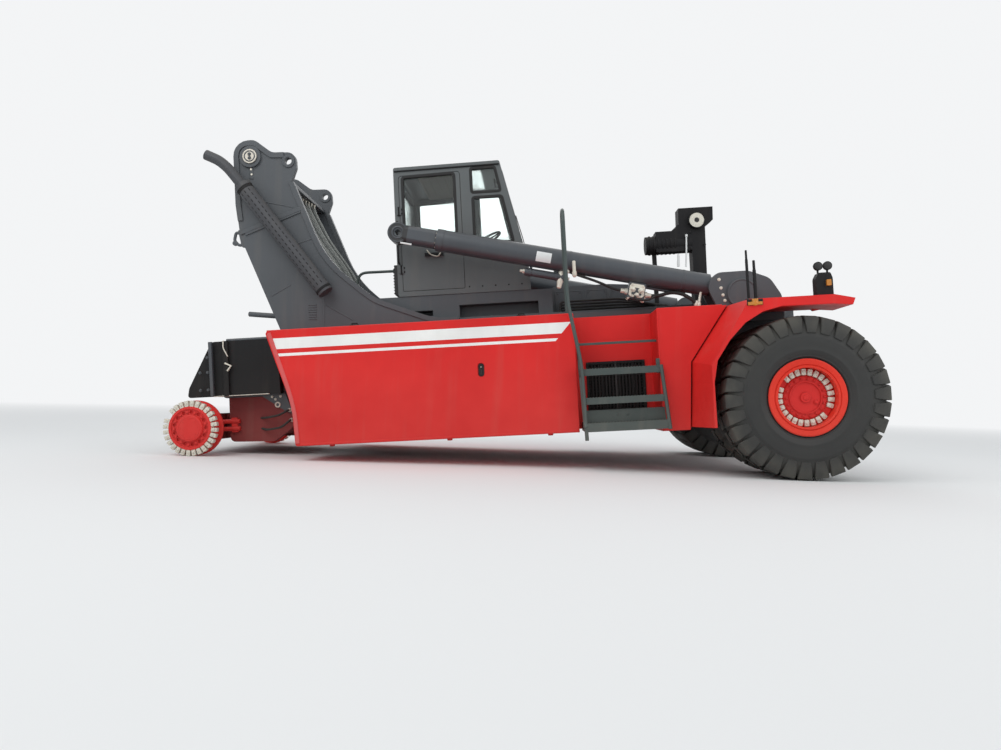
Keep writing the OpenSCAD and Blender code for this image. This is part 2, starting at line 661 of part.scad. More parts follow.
// Door outline set in by the gap all round
DOOR_IN = [
    [DOOR[0][0] + door_gap, DOOR[0][1] + door_gap, 16], [DOOR[1][0] + door_gap, DOOR[1][1] - door_gap, 36],
    [DOOR[2][0] - door_gap, DOOR[2][1] - door_gap, 36], [DOOR[3][0] - door_gap, DOOR[3][1] + door_gap, 16]
];
module cab_doors() placed() color(grey) both() {
    difference() {
        slab(-cab_y, -cab_y + cab_t) polygon(outline(DOOR_IN, 4));
        slab(-cab_y - e, -cab_y + cab_t + e) polygon(outline(DOOR_PANE, 4));
    }
    for (z = [2500, 3200]) block([-4175, -4120], [-cab_y - 14, -cab_y], [z, z + 90]);
    block([-3860, -3640], [-cab_y - 26, -cab_y], [2680, 2730]);
}
module cab_glass() placed() color([0.6, 0.75, 0.75, 0.5]) {
    for (o = [DOOR_PANE, SIDE_TOP, SIDE_LOW])
        slab(-cab_y + 24, -cab_y + 24 + pane_t) polygon(outline(o, 4));
    left() for (o = [DOOR_PANE, SIDE_ALL])
        slab(-cab_y + 24, -cab_y + 24 + pane_t) polygon(outline(o, 4));
    // windscreen, rear and roof panes
    slab(-SCREEN_Y, SCREEN_Y) polygon([
        [-2929, SCREEN_Z[1]], [-2700, SCREEN_Z[0]], [-2700 - pane_t, SCREEN_Z[0]],
        [-2929 - pane_t, SCREEN_Z[1]]
    ]);
    block([-4180, -4180 + pane_t], [-REAR_Y, REAR_Y], REAR_Z);
    block(ROOF_X, [-ROOF_Y, ROOF_Y], [3740, 3740 + pane_t]);
}

// Slide base under the cab, with open slots along both sides: x from, x to, z from, z to
SLOTS = [[-4030, -3800, 1980, 2045], [-3482, -2550, frame_top + deck_t + 8, 2090]];
slot_depth = 200;
module cab_base() placed() color(grey) difference() {
    slab(-cab_y + 10, cab_y - 10) polygon([
        [-4070, frame_top + deck_t], [-4480, cab_z - 10], [-4480, cab_z], [-2380, cab_z],
        [-2380, frame_top + deck_t]
    ]);
    for (s = SLOTS) both() block([s[0], s[1]], [-cab_y, -cab_y + slot_depth], [s[2], s[3]]);
}

module seat() placed() color([0.1, 0.1, 0.1]) {
    f = cab_z + cab_t;
    block([-3950, -3560], [-180, 180], [f, f + 260]);
    slab(-250, 250) polygon(outline([
        [-4010, f + 260, 30], [-4100, f + 900, 50], [-3990, f + 930, 50], [-3900, f + 400, 60],
        [-3520, f + 380, 50], [-3500, f + 260, 40]
    ]));
}
module console() placed() color(dark) {
    f = cab_z + cab_t;
    slab(-120, 120) polygon(outline([
        [-3050, f, 0], [-3180, f + 620, 20], [-3080, f + 680, 20], [-2860, f + 300, 40], [-2820, f, 0]
    ]));
    bar([-3120, 0, f + 600], [-3150, 0, f + 690], 24);
    translate([-3150, 0, f + 690]) rotate([0, -28, 0]) {
        rotate_extrude() translate([190, 0]) circle(r = 14, $fn = 16);
        for (a = [0, 120, 240]) rotate([0, 0, a]) rotate([0, 90, 0]) cylinder(h = 190, r = 10, $fn = 16);
    }
}

// Exhaust on the right-hand tower: a round guard over the pipe, whose bent end stands free
guard_r = 92;
pipe_r = 60;
ex_y = -frame_y - rim_t - guard_r - 8;
GUARD = [[-5905, 3577], [-4990, 2288]];
module exhaust() placed() color([0.2, 0.2, 0.21]) difference() {
    up = unit(GUARD[0] - GUARD[1]);
    union() {
        tube(bends([
            [GUARD[0][0] + 80, ex_y, GUARD[0][1] - 113], [-6075, ex_y, 3806], [-6180, ex_y, 3906],
            [-6335, ex_y, 3985]
        ], 60), pipe_r, [0, 1, 0], 20);
        bar([GUARD[1][0], ex_y, GUARD[1][1]], [GUARD[0][0], ex_y, GUARD[0][1]], guard_r, 32);
        // collar and brackets
        bar([GUARD[0][0], ex_y, GUARD[0][1]] - 24 * [up[0], 0, up[1]],
            [GUARD[0][0], ex_y, GUARD[0][1]] + 24 * [up[0], 0, up[1]], guard_r + 10, 32);
        for (d = [170, 720, 1200]) let (p = GUARD[1] + d * up) rod_y(p[0], p[1], 30, ex_y, -frame_y);
    }
    bar([-6240, ex_y, 3937], [-6380, ex_y, 4008], pipe_r - 10, 20);
}

// Post with a plate head, a round lamp and a motor, near the centreline ahead of the cab
module lamp_post() placed() color(dark) {
    slab(-300, -100) polygon([
        [-790, 3160], [-375, 3160], [-380, 3000], [-480, 2925], [-500, TIES[2][3]], [-650, TIES[2][3]],
        [-650, 2880], [-900, 2880], [-795, 2970]
    ]);
    rod_y(-584, 2996, 100, -340, -300);
    bar([-1200, -200, 2740], [-640, -200, 2740], 110, 32);
    block([-1080, -640], [-300, -120], [2640, 2890]);
    block([-1120, -1070], [-220, -180], [frame_top + deck_t, 2660]);
}

// Marker lamps with their stalks at the fenders' outer edge, and lamp pairs further forward
module lamps() placed() color([0.9, 0.6, 0.2]) both() {
    block([-528, -388], [-fender_out - 30, -fender_out], [fender_top - 64, fender_top - 2]);
    for (l = [[-478, 2305, 15], [-408, 2200, 18]])
        translate([l[0], -1940, fender_top]) cylinder(h = l[1] - fender_top, r = l[2], $fn = 16);
    block([185, 350], [-1950, -1850], [fender_top, 2040]);
    for (x = [225, 318]) rod_y(x, 2104, 44, -1930, -1870);
    block([200, 340], [-1915, -1885], [2030, 2080]);
}

// Hoses tied together between the towers, from the shelf down to the engine bay
hose_r = 18;
module hoses() placed() color([0.6, 0.62, 0.6]) {
    for (i = [0:5]) let (y = -650 + i * 55, s = i * 14) tube(bends([
        [SHELF[1] - 40 - s, y, SHELF[2]], [SHELF[1] - 40 - s, y, SHELF[2] - 130],
        [-5130 - s, y, 2900], [-4900 - s, y, 2460], [-4640 - s, y, 2230], [-4560 - s, y, 1834]
    ], 55, 3), hose_r, [0, 1, 0], 8);
}

frame_plates();
cross_members();
pivot_pins();
tail_frame();
engine();
deck();
valve_hood();
drive_axle();
steer_axle();
steer_cylinder();
tanks();
ladder_bays();
grilles();
front_covers();
fenders();
ladders();
foot_brackets();
cab_base();
cab_shell();
cab_doors();
cab_glass();
seat();
console();
exhaust();
lamp_post();
lamps();
hoses();
drive_tyres_right();
drive_tyres_left();
drive_rims_right();
drive_rims_left();
drive_hub_right();
drive_hub_left();
knuckle_right();
knuckle_left();
steer_hub_right();
steer_hub_left();
steer_rod();
lift_tube_right();
lift_tube_left();
lift_rod_right();
lift_rod_left();
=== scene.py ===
"""Finish for a stripped reach stacker: paint, tyres, glass, hoses and fittings around its CAD frame."""

import json
import math

import bmesh
import bpy
from bpy.props import FloatProperty, FloatVectorProperty, IntProperty, PointerProperty
from mathutils import Matrix, Vector


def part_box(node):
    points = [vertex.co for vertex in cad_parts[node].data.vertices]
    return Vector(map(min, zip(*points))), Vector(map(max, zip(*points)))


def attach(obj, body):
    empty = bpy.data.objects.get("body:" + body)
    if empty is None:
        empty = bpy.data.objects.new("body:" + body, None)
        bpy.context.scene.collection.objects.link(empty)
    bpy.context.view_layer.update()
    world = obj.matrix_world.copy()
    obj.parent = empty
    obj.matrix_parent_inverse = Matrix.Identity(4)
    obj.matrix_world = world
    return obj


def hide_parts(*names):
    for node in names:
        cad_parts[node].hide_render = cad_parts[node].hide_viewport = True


bl_info = {
    "name": "Reach Stacker Finish",
    "version": (1, 0, 0),
    "blender": (4, 5, 0),
    "location": "View3D > Sidebar > Reach Stacker",
    "description": "Builds the paint, tyres, glass and fittings of a stripped reach stacker",
    "category": "Object",
}

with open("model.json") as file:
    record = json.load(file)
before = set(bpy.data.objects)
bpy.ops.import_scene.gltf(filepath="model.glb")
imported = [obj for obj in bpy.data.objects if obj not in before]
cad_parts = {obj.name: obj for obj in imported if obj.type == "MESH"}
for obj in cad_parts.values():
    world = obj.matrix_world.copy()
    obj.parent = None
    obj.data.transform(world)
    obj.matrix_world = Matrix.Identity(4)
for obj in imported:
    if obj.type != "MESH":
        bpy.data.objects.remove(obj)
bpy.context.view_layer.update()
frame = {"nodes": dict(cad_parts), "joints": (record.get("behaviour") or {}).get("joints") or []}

# The level machine: x forward from the drive axle, y to its left, z up from the floor under that axle
JOINTS = {joint["name"]: joint for joint in frame["joints"]}
DRIVE = Vector(JOINTS["drive_right"]["pos_m"])
STEER = Vector(JOINTS["hub_right"]["pos_m"])
PITCH = math.atan2(DRIVE.z - STEER.z, DRIVE.x - STEER.x)
TYRE_R = DRIVE.z
TURN = Matrix.Rotation(-PITCH, 4, "Y")
ORIGIN = Vector((DRIVE.x, 0, DRIVE.z)) - (TURN @ Vector((0, 0, TYRE_R)))
LEVEL = Matrix.Translation(ORIGIN) @ TURN
SIDES = {"right": -1, "left": 1}

# Directions of the level machine; outward is away from its centre plane
FORWARD = (1, 0, 0)
BACKWARD = (-1, 0, 0)
OUTWARD = (0, 1, 0)
INWARD = (0, -1, 0)
UP = (0, 0, 1)
DOWN = (0, 0, -1)

# Places on the level machine
STEER_X = -6.44
DECK_TOP = 1.926
TANK_TOP = 1.805
PLATE_Y = 0.82
TAIL_Y = 1.06
BOOM_PIN_X = -5.849
BOOM_PIN_Z = 3.962
TYRE_HALF_WIDTH = 0.25

# Lift cylinder: foot pin, angle of the closed cylinder and its distance from the centre plane
FOOT = Vector((-0.33, 0.0, 2.031))
CYLINDER_ANGLE = math.radians(13)
CYLINDER_Y = 1.0

# Distances from the foot pin: end of the gland, start of the rod's painted eye and the eye's pin
GLAND_END = 3.427
SHANK_END = 3.757
EYE = 3.87


# Materials


def node(tree, kind, inputs=None, **settings):
    """Adds a shader node, sets its settings, and links or sets its inputs."""
    made = tree.nodes.new("ShaderNode" + kind)
    for key, value in settings.items():
        setattr(made, key, value)
    for key, value in (inputs or {}).items():
        if isinstance(value, bpy.types.NodeSocket):
            tree.links.new(value, made.inputs[key])
        else:
            made.inputs[key].default_value = value
    return made


def maths(tree, operation, a, b=0.0, c=0.0):
    """One maths node, clamped to 0 to 1."""
    return node(tree, "Math", {0: a, 1: b, 2: c}, operation=operation, use_clamp=True).outputs[0]


def rescale(tree, value, low, high, out_low=0.0, out_high=1.0):
    """Maps a range of values onto another."""
    sockets = {"Value": value, "From Min": low, "From Max": high, "To Min": out_low, "To Max": out_high}
    return node(tree, "MapRange", sockets).outputs[0]


def blend_colour(tree, factor, a, b):
    """Colour a towards b by a factor."""
    sockets = {0: factor, 6: a, 7: b}
    return node(tree, "Mix", sockets, data_type="RGBA", blend_type="MIX").outputs[2]


def group(name, inputs, outputs):
    """Starts a shader node group: its tree, its input sockets and its output sockets."""
    tree = bpy.data.node_groups.new(name, "ShaderNodeTree")
    for label, value in inputs.items():
        kind = "NodeSocketFloat"
        if isinstance(value, tuple):
            kind = "NodeSocketColor" if len(value) == 4 else "NodeSocketVector"
        tree.interface.new_socket(label, in_out="INPUT", socket_type=kind).default_value = value
    for label in outputs:
        kind = {"Colour": "NodeSocketColor", "Normal": "NodeSocketVector"}.get(label, "NodeSocketFloat")
        tree.interface.new_socket(label, in_out="OUTPUT", socket_type=kind)
    return tree, tree.nodes.new("NodeGroupInput").outputs, tree.nodes.new("NodeGroupOutput").inputs


def send(tree, sockets, **values):
    """Links values to the group's outputs of the same names."""
    for label, value in values.items():
        tree.links.new(value, sockets[label])


def weathering_group():
    """Uneven paint with rain streaks, settled dust and bare worn edges."""
    tree, given, out = group(
        "Weathering",
        {
            "Paint": (0.5, 0.5, 0.5, 1.0),
            "Dust colour": (0.28, 0.24, 0.19, 1.0),
            "Bare colour": (0.2, 0.19, 0.18, 1.0),
            "Dust": 0.3,
            "Wear": 0.3,
            "Gloss": 0.4,
            "Edge": 0.006,
        },
        ["Colour", "Roughness", "Height", "Normal", "Metal"],
    )
    place = node(tree, "TexCoord")
    at = place.outputs["Object"]
    broad = node(tree, "TexNoise", {"Vector": at, "Scale": 1.4, "Detail": 4.0}).outputs[0]
    fine = node(tree, "TexNoise", {"Vector": at, "Scale": 60.0, "Detail": 3.0}).outputs[0]
    run = node(tree, "Mapping", {"Vector": at, "Scale": (9.0, 9.0, 0.7)}).outputs[0]
    streaks = node(tree, "TexNoise", {"Vector": run, "Scale": 1.0, "Detail": 4.0}).outputs[0]
    tone = rescale(tree, broad, 0.3, 0.7, 0.9, 1.08)
    paint = node(tree, "HueSaturation", {"Color": given["Paint"], "Value": tone}).outputs[0]
    facing = node(tree, "SeparateXYZ", {0: place.outputs["Normal"]}).outputs[2]
    height = node(tree, "SeparateXYZ", {0: at}).outputs[2]
    flat = rescale(tree, facing, 0.35, 1.0, 0.0, 0.8)
    low = rescale(tree, height, 1.3, 0.2, 0.0, 0.55)
    streaky = rescale(tree, streaks, 0.52, 0.72, 0.0, 0.35)
    settled = maths(tree, "ADD", maths(tree, "MAXIMUM", flat, low), streaky)
    patchy = maths(tree, "MULTIPLY", settled, rescale(tree, broad, 0.3, 0.75, 0.35, 1.2))
    dusty = maths(tree, "MULTIPLY", patchy, given["Dust"])
    dusted = blend_colour(tree, dusty, paint, given["Dust colour"])
    rounded = node(tree, "Bevel", {"Radius": given["Edge"]}, samples=4)
    true_normal = node(tree, "NewGeometry").outputs["True Normal"]
    bend = node(tree, "VectorMath", {0: rounded.outputs[0], 1: true_normal}, operation="DOT_PRODUCT")
    edge = rescale(tree, bend.outputs["Value"], 0.985, 0.8)
    chipped = maths(tree, "MULTIPLY", edge, rescale(tree, fine, 0.52, 0.62))
    worn = maths(tree, "MULTIPLY", chipped, given["Wear"])
    colour = blend_colour(tree, worn, dusted, given["Bare colour"])
    matt = maths(tree, "MULTIPLY_ADD", dusty, 0.45, given["Gloss"])
    rough = maths(tree, "MULTIPLY_ADD", fine, 0.1, matt)
    bumps = maths(tree, "SUBTRACT", maths(tree, "MULTIPLY", fine, 0.35), maths(tree, "MULTIPLY", worn, 0.3))
    send(tree, out, Colour=colour, Roughness=rough, Height=bumps, Normal=rounded.outputs[0], Metal=worn)
    return tree


def rubber_group():
    """Tyre rubber: pale dust on the lugs and low on the walls, dark and smoother between."""
    tree, given, out = group(
        "Tyre rubber",
        {"Rubber": (0.019, 0.0195, 0.019, 1.0), "Dust colour": (0.105, 0.10, 0.083, 1.0), "Dust": 0.6},
        ["Colour", "Roughness", "Height"],
    )
    at = node(tree, "TexCoord").outputs["Object"]
    split = node(tree, "SeparateXYZ", {0: at})
    across = node(tree, "CombineXYZ", {0: split.outputs[0], 2: split.outputs[2]}).outputs[0]
    radius = node(tree, "VectorMath", {0: across}, operation="LENGTH").outputs["Value"]
    broad = node(tree, "TexNoise", {"Vector": at, "Scale": 5.0, "Detail": 5.0}).outputs[0]
    fine = node(tree, "TexNoise", {"Vector": at, "Scale": 120.0, "Detail": 3.0}).outputs[0]
    outer = rescale(tree, radius, 0.6, 0.8, 0.1, 1.0)
    dusty = maths(
        tree, "MULTIPLY", maths(tree, "MULTIPLY", outer, rescale(tree, broad, 0.35, 0.65, 0.3, 1.0)),
        given["Dust"],
    )
    colour = blend_colour(tree, dusty, given["Rubber"], given["Dust colour"])
    rings = node(tree, "Math", {0: radius, 1: 520.0}, operation="MULTIPLY").outputs[0]
    ribbed = rescale(tree, node(tree, "Math", {0: rings}, operation="SINE").outputs[0], -1.0, 1.0)
    wall = rescale(tree, radius, 0.62, 0.58)
    height = maths(
        tree, "ADD", maths(tree, "MULTIPLY", fine, 0.6),
        maths(tree, "MULTIPLY", ribbed, maths(tree, "MULTIPLY", wall, 0.2)),
    )
    send(tree, out, Colour=colour, Roughness=maths(tree, "MULTIPLY_ADD", dusty, 0.3, 0.62), Height=height)
    return tree


# Bands on the tank: lower edge, upper edge, rear end, front end at the lower edge, slant
STRIPES = [(1.608, 1.724, -5.41, -2.335, 0.9), (1.53, 1.56, -5.38, -2.4, 0.9)]


def stripe_group():
    """White stripes on the tanks: two level bands with slanted front ends."""
    tree, given, out = group("Tank stripes", {"Reach": 1.5}, ["Mask"])
    at = node(tree, "TexCoord").outputs["Object"]
    shifted = node(tree, "VectorMath", {0: at, 1: tuple(ORIGIN)}, operation="SUBTRACT").outputs[0]
    level = node(
        tree, "VectorRotate", {"Vector": shifted, "Angle": PITCH}, rotation_type="Y_AXIS",
    ).outputs[0]
    split = node(tree, "SeparateXYZ", {0: level})
    x, y, z = split.outputs
    side = maths(
        tree, "GREATER_THAN", node(tree, "Math", {0: y}, operation="ABSOLUTE").outputs[0], given["Reach"],
    )
    mask = None
    for low, high, rear, front, slant in STRIPES:
        rise = node(tree, "Math", {0: z, 1: low}, operation="SUBTRACT").outputs[0]
        nose = node(tree, "Math", {0: rise, 1: slant, 2: front}, operation="MULTIPLY_ADD").outputs[0]
        band = maths(
            tree, "MULTIPLY", maths(tree, "GREATER_THAN", z, low), maths(tree, "LESS_THAN", z, high),
        )
        length = maths(
            tree, "MULTIPLY", maths(tree, "GREATER_THAN", x, rear), maths(tree, "LESS_THAN", x, nose),
        )
        both = maths(tree, "MULTIPLY", band, length)
        mask = both if mask is None else maths(tree, "MAXIMUM", mask, both)
    send(tree, out, Mask=maths(tree, "MULTIPLY", mask, side))
    return tree


def weave_group():
    """Over-and-under weave for hose sleeves and seat cloth."""
    tree, given, out = group(
        "Weave", {"Pitch": 400.0, "Light": (0.4, 0.4, 0.4, 1.0), "Shade": (0.2, 0.2, 0.2, 1.0)},
        ["Colour", "Height"],
    )
    at = node(tree, "TexCoord").outputs["Object"]
    scaled = node(tree, "VectorMath", {0: at, "Scale": given["Pitch"]}, operation="SCALE").outputs[0]
    split = node(tree, "SeparateXYZ", {0: scaled})
    waves = []
    for axis in (0, 1, 2):
        waves.append(node(tree, "Math", {0: split.outputs[axis]}, operation="SINE").outputs[0])
    crossed = node(tree, "Math", {0: waves[0], 1: waves[2]}, operation="MULTIPLY").outputs[0]
    crossed = node(tree, "Math", {0: crossed, 1: waves[1]}, operation="ADD").outputs[0]
    over = rescale(tree, crossed, -0.8, 0.8)
    send(tree, out, Colour=blend_colour(tree, over, given["Shade"], given["Light"]), Height=over)
    return tree


def new_material(name):
    """Starts a material: itself, its node tree and its shader."""
    material = bpy.data.materials.new(name)
    material.use_nodes = True
    return material, material.node_tree, material.node_tree.nodes["Principled BSDF"]


def finish_material(name, groups, settings, coat, metallic):
    """A painted or bare metal with the weathering group."""
    material, tree, shader = new_material(name)
    wear = node(tree, "Group", node_tree=groups["weathering"])
    for key, value in settings.items():
        wear.inputs[key].default_value = (*value, 1.0) if isinstance(value, tuple) else value
    bump = node(
        tree, "Bump",
        {
            "Height": wear.outputs["Height"], "Normal": wear.outputs["Normal"], "Strength": 0.25,
            "Distance": 0.003,
        },
    )
    tree.links.new(wear.outputs["Colour"], shader.inputs["Base Color"])
    tree.links.new(wear.outputs["Roughness"], shader.inputs["Roughness"])
    tree.links.new(bump.outputs[0], shader.inputs["Normal"])
    shader.inputs["Metallic"].default_value = metallic
    shader.inputs["Coat Weight"].default_value = coat
    shader.inputs["Coat Roughness"].default_value = 0.12
    return material


def striped_material(groups, base, white):
    """The tank's paint with its white stripes laid over it."""
    material = base.copy()
    material.name = "Tank paint"
    tree = material.node_tree
    wear = next(n for n in tree.nodes if n.type == "GROUP")
    mask = node(tree, "Group", node_tree=groups["stripes"]).outputs[0]
    given = wear.inputs["Paint"].default_value[:]
    tree.links.new(blend_colour(tree, mask, given, (*white, 1.0)), wear.inputs["Paint"])
    return material


def rod_material(base):
    """Chrome along the rod, and the tube's paint on the shank and eye at its free end."""
    material = base.copy()
    material.name = "Rod finish"
    tree = material.node_tree
    shader = tree.nodes["Principled BSDF"]
    at = node(tree, "TexCoord").outputs["Object"]
    foot = LEVEL @ FOOT
    apart = node(tree, "VectorMath", {0: at, 1: tuple(foot)}, operation="SUBTRACT").outputs[0]
    across = node(tree, "SeparateXYZ", {0: apart})
    flat = node(tree, "CombineXYZ", {0: across.outputs[0], 2: across.outputs[2]}).outputs[0]
    reach = node(tree, "VectorMath", {0: flat}, operation="LENGTH").outputs["Value"]
    bare = maths(tree, "LESS_THAN", reach, GLAND_END)
    eye = maths(tree, "GREATER_THAN", reach, SHANK_END)
    painted = blend_colour(
        tree, eye, shader.inputs["Base Color"].links[0].from_socket, (0.016, 0.017, 0.018, 1.0),
    )
    rough = shader.inputs["Roughness"].links[0].from_socket
    tree.links.new(blend_colour(tree, bare, painted, (0.72, 0.72, 0.74, 1.0)), shader.inputs["Base Color"])
    tree.links.new(rescale(tree, bare, 0.0, 1.0, rough, 0.12), shader.inputs["Roughness"])
    tree.links.new(bare, shader.inputs["Metallic"])
    return material


def rubber_material(name, groups, dust):
    """Tyre rubber from its group."""
    material, tree, shader = new_material(name)
    tread = node(tree, "Group", {"Dust": dust}, node_tree=groups["rubber"])
    bump = node(tree, "Bump", {"Height": tread.outputs["Height"], "Strength": 0.4, "Distance": 0.003})
    tree.links.new(tread.outputs["Colour"], shader.inputs["Base Color"])
    tree.links.new(tread.outputs["Roughness"], shader.inputs["Roughness"])
    tree.links.new(bump.outputs[0], shader.inputs["Normal"])
    return material


def woven_material(name, groups, light, shade, pitch, rough=0.8):
    """Woven cloth or hose sleeve."""
    material, tree, shader = new_material(name)
    weave = node(
        tree, "Group", {"Pitch": pitch, "Light": (*light, 1.0), "Shade": (*shade, 1.0)},
        node_tree=groups["weave"],
    )
    bump = node(tree, "Bump", {"Height": weave.outputs["Height"], "Strength": 0.5, "Distance": 0.002})
    tree.links.new(weave.outputs["Colour"], shader.inputs["Base Color"])
    tree.links.new(bump.outputs[0], shader.inputs["Normal"])
    shader.inputs["Roughness"].default_value = rough
    return material


def clear_material(name, colour, transmission, rough):
    """Glass or a lamp lens with a film of dust."""
    material, tree, shader = new_material(name)
    at = node(tree, "TexCoord").outputs["Object"]
    film = node(tree, "TexNoise", {"Vector": at, "Scale": 3.0, "Detail": 6.0}).outputs[0]
    tree.links.new(rescale(tree, film, 0.4, 0.75, rough, rough + 0.25), shader.inputs["Roughness"])
    tint = blend_colour(
        tree, rescale(tree, film, 0.45, 0.8, 0.0, 0.25), (*colour, 1.0), (0.55, 0.53, 0.48, 1.0),
    )
    tree.links.new(tint, shader.inputs["Base Color"])
    shader.inputs["Transmission Weight"].default_value = transmission
    shader.inputs["IOR"].default_value = 1.45
    return material


MATERIALS = {}


def build_materials(colours):
    """Builds every finish once."""
    groups = {
        "weathering": weathering_group(),
        "rubber": rubber_group(),
        "stripes": stripe_group(),
        "weave": weave_group(),
    }
    rgb = {key: tuple(getattr(colours, key)) for key in colours.__annotations__}
    rows = {
        # name: paint, dust, wear, roughness, edge radius, coat, metallic
        "Body red": (rgb["body_red"], 0.2, 0.12, 0.42, 0.008, 0.0, 0.0),
        # body red made lighter: a painted highlight for the sky on the tanks' rolled rear edges
        "Edge red": (tuple(0.85 * c + 0.07 for c in rgb["body_red"]), 0.2, 0.12, 0.42, 0.008, 0.0, 0.0),
        "Rim red": (rgb["rim_red"], 0.2, 0.2, 0.42, 0.004, 0.0, 0.0),
        "Axle red": (rgb["axle_red"], 0.22, 0.2, 0.55, 0.008, 0.0, 0.0),
        "Frame grey": (rgb["frame_grey"], 0.3, 0.15, 0.5, 0.008, 0.05, 0.0),
        "Cab grey": (rgb["cab_grey"], 0.25, 0.15, 0.42, 0.01, 0.15, 0.0),
        "Black paint": (rgb["black"], 0.12, 0.2, 0.6, 0.006, 0.0, 0.0),
        "Tube grey": (rgb["tube_grey"], 0.2, 0.1, 0.36, 0.004, 0.2, 0.0),
        "Ladder grey": (rgb["ladder_grey"], 0.35, 0.35, 0.45, 0.005, 0.1, 0.0),
        "Bare steel": ((0.5, 0.47, 0.41), 0.35, 0.3, 0.38, 0.003, 0.0, 0.75),
        "Wedge steel": ((0.74, 0.71, 0.61), 0.35, 0.3, 0.42, 0.003, 0.0, 0.3),
        "Exhaust grey": (rgb["exhaust_grey"], 0.3, 0.25, 0.5, 0.005, 0.0, 0.0),
        "White plate": ((0.78, 0.8, 0.79), 0.15, 0.1, 0.4, 0.001, 0.1, 0.0),
        "Reflector": ((0.72, 0.70, 0.60), 0.2, 0.0, 0.25, 0.002, 0.3, 0.0),
        "Roof liner": ((0.36, 0.33, 0.29), 0.1, 0.0, 0.9, 0.004, 0.0, 0.0),
        "Black plastic": ((0.012, 0.012, 0.013), 0.2, 0.1, 0.5, 0.004, 0.0, 0.0),
        "Black rubber": ((0.014, 0.014, 0.014), 0.2, 0.0, 0.7, 0.003, 0.0, 0.0),
    }
    for name, (paint, dust, wear, gloss, edge, coat, metallic) in rows.items():
        settings = {"Paint": paint, "Dust": dust, "Wear": wear, "Gloss": gloss, "Edge": edge}
        MATERIALS[name] = finish_material(name, groups, settings, coat, metallic)
    for name in ("Body red", "Rim red", "Black paint"):
        MATERIALS[name].node_tree.nodes["Principled BSDF"].inputs["Specular IOR Level"].default_value = 0.25
    MATERIALS["Tank paint"] = striped_material(groups, MATERIALS["Body red"], rgb["stripe"])
    MATERIALS["Tyre rubber"] = rubber_material("Tyre rubber", groups, 0.75)
    MATERIALS["Hose sleeve"] = woven_material(
        "Hose sleeve", groups, (0.42, 0.43, 0.4), (0.16, 0.17, 0.16), 260.0,
    )
    MATERIALS["Hose sleeve dark"] = woven_material(
        "Hose sleeve dark", groups, (0.20, 0.21, 0.20), (0.07, 0.075, 0.07), 260.0,
    )
    MATERIALS["Rod finish"] = rod_material(MATERIALS["Tube grey"])
    MATERIALS["Cushion cloth"] = woven_material(
        "Cushion cloth", groups, (0.03, 0.03, 0.033), (0.012, 0.012, 0.013), 700.0, 0.9,
    )
    MATERIALS["Cab glass"] = clear_material("Cab glass", (0.80, 0.86, 0.85), 1.0, 0.0)
    MATERIALS["Amber lens"] = clear_material("Amber lens", rgb["amber"], 0.35, 0.12)


# CAD nodes and their finishes
NODE_FINISH = {
    "Frame grey": ["frame_plates", "cross_members", "deck", "foot_brackets", "cab_base", "valve_hood"],
    "Cab grey": ["cab_shell", "cab_doors"],
    "Exhaust grey": ["exhaust"],
    "Black paint": ["tail_frame", "engine", "steer_cylinder", "grilles", "lamp_post"],
    "Body red": [
        "ladder_bays", "front_covers", "fenders", "drive_hub_right", "drive_hub_left", "steer_hub_right",
        "steer_hub_left",
    ],
    "Tank paint": ["tanks"],
    "Rim red": ["drive_rims_right", "drive_rims_left"],
    "Axle red": ["drive_axle", "steer_axle", "knuckle_right", "knuckle_left"],
    "Ladder grey": ["ladders"],
    "Tube grey": ["lift_tube_right", "lift_tube_left"],
    "Rod finish": ["lift_rod_right", "lift_rod_left"],
    "Bare steel": ["pivot_pins", "steer_rod"],
    "Black plastic": ["console"],
    "Cushion cloth": ["seat"],
    "Cab glass": ["cab_glass"],
    "Amber lens": ["lamps"],
    "Hose sleeve": ["hoses"],
    "Tyre rubber": ["drive_tyres_right", "drive_tyres_left"],
}


# Shapes


def reach_of(name):
    """How far a CAD node reaches from the centre plane."""
    return max(abs(corner.y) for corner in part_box(name))


def ring_points(centre, side, up, radius, count):
    """Points round a circle in the plane of two directions."""
    made = []
    for k in range(count):
        a = 2 * math.pi * k / count
        made.append(tuple(centre + radius * (math.cos(a) * side + math.sin(a) * up)))
    return made


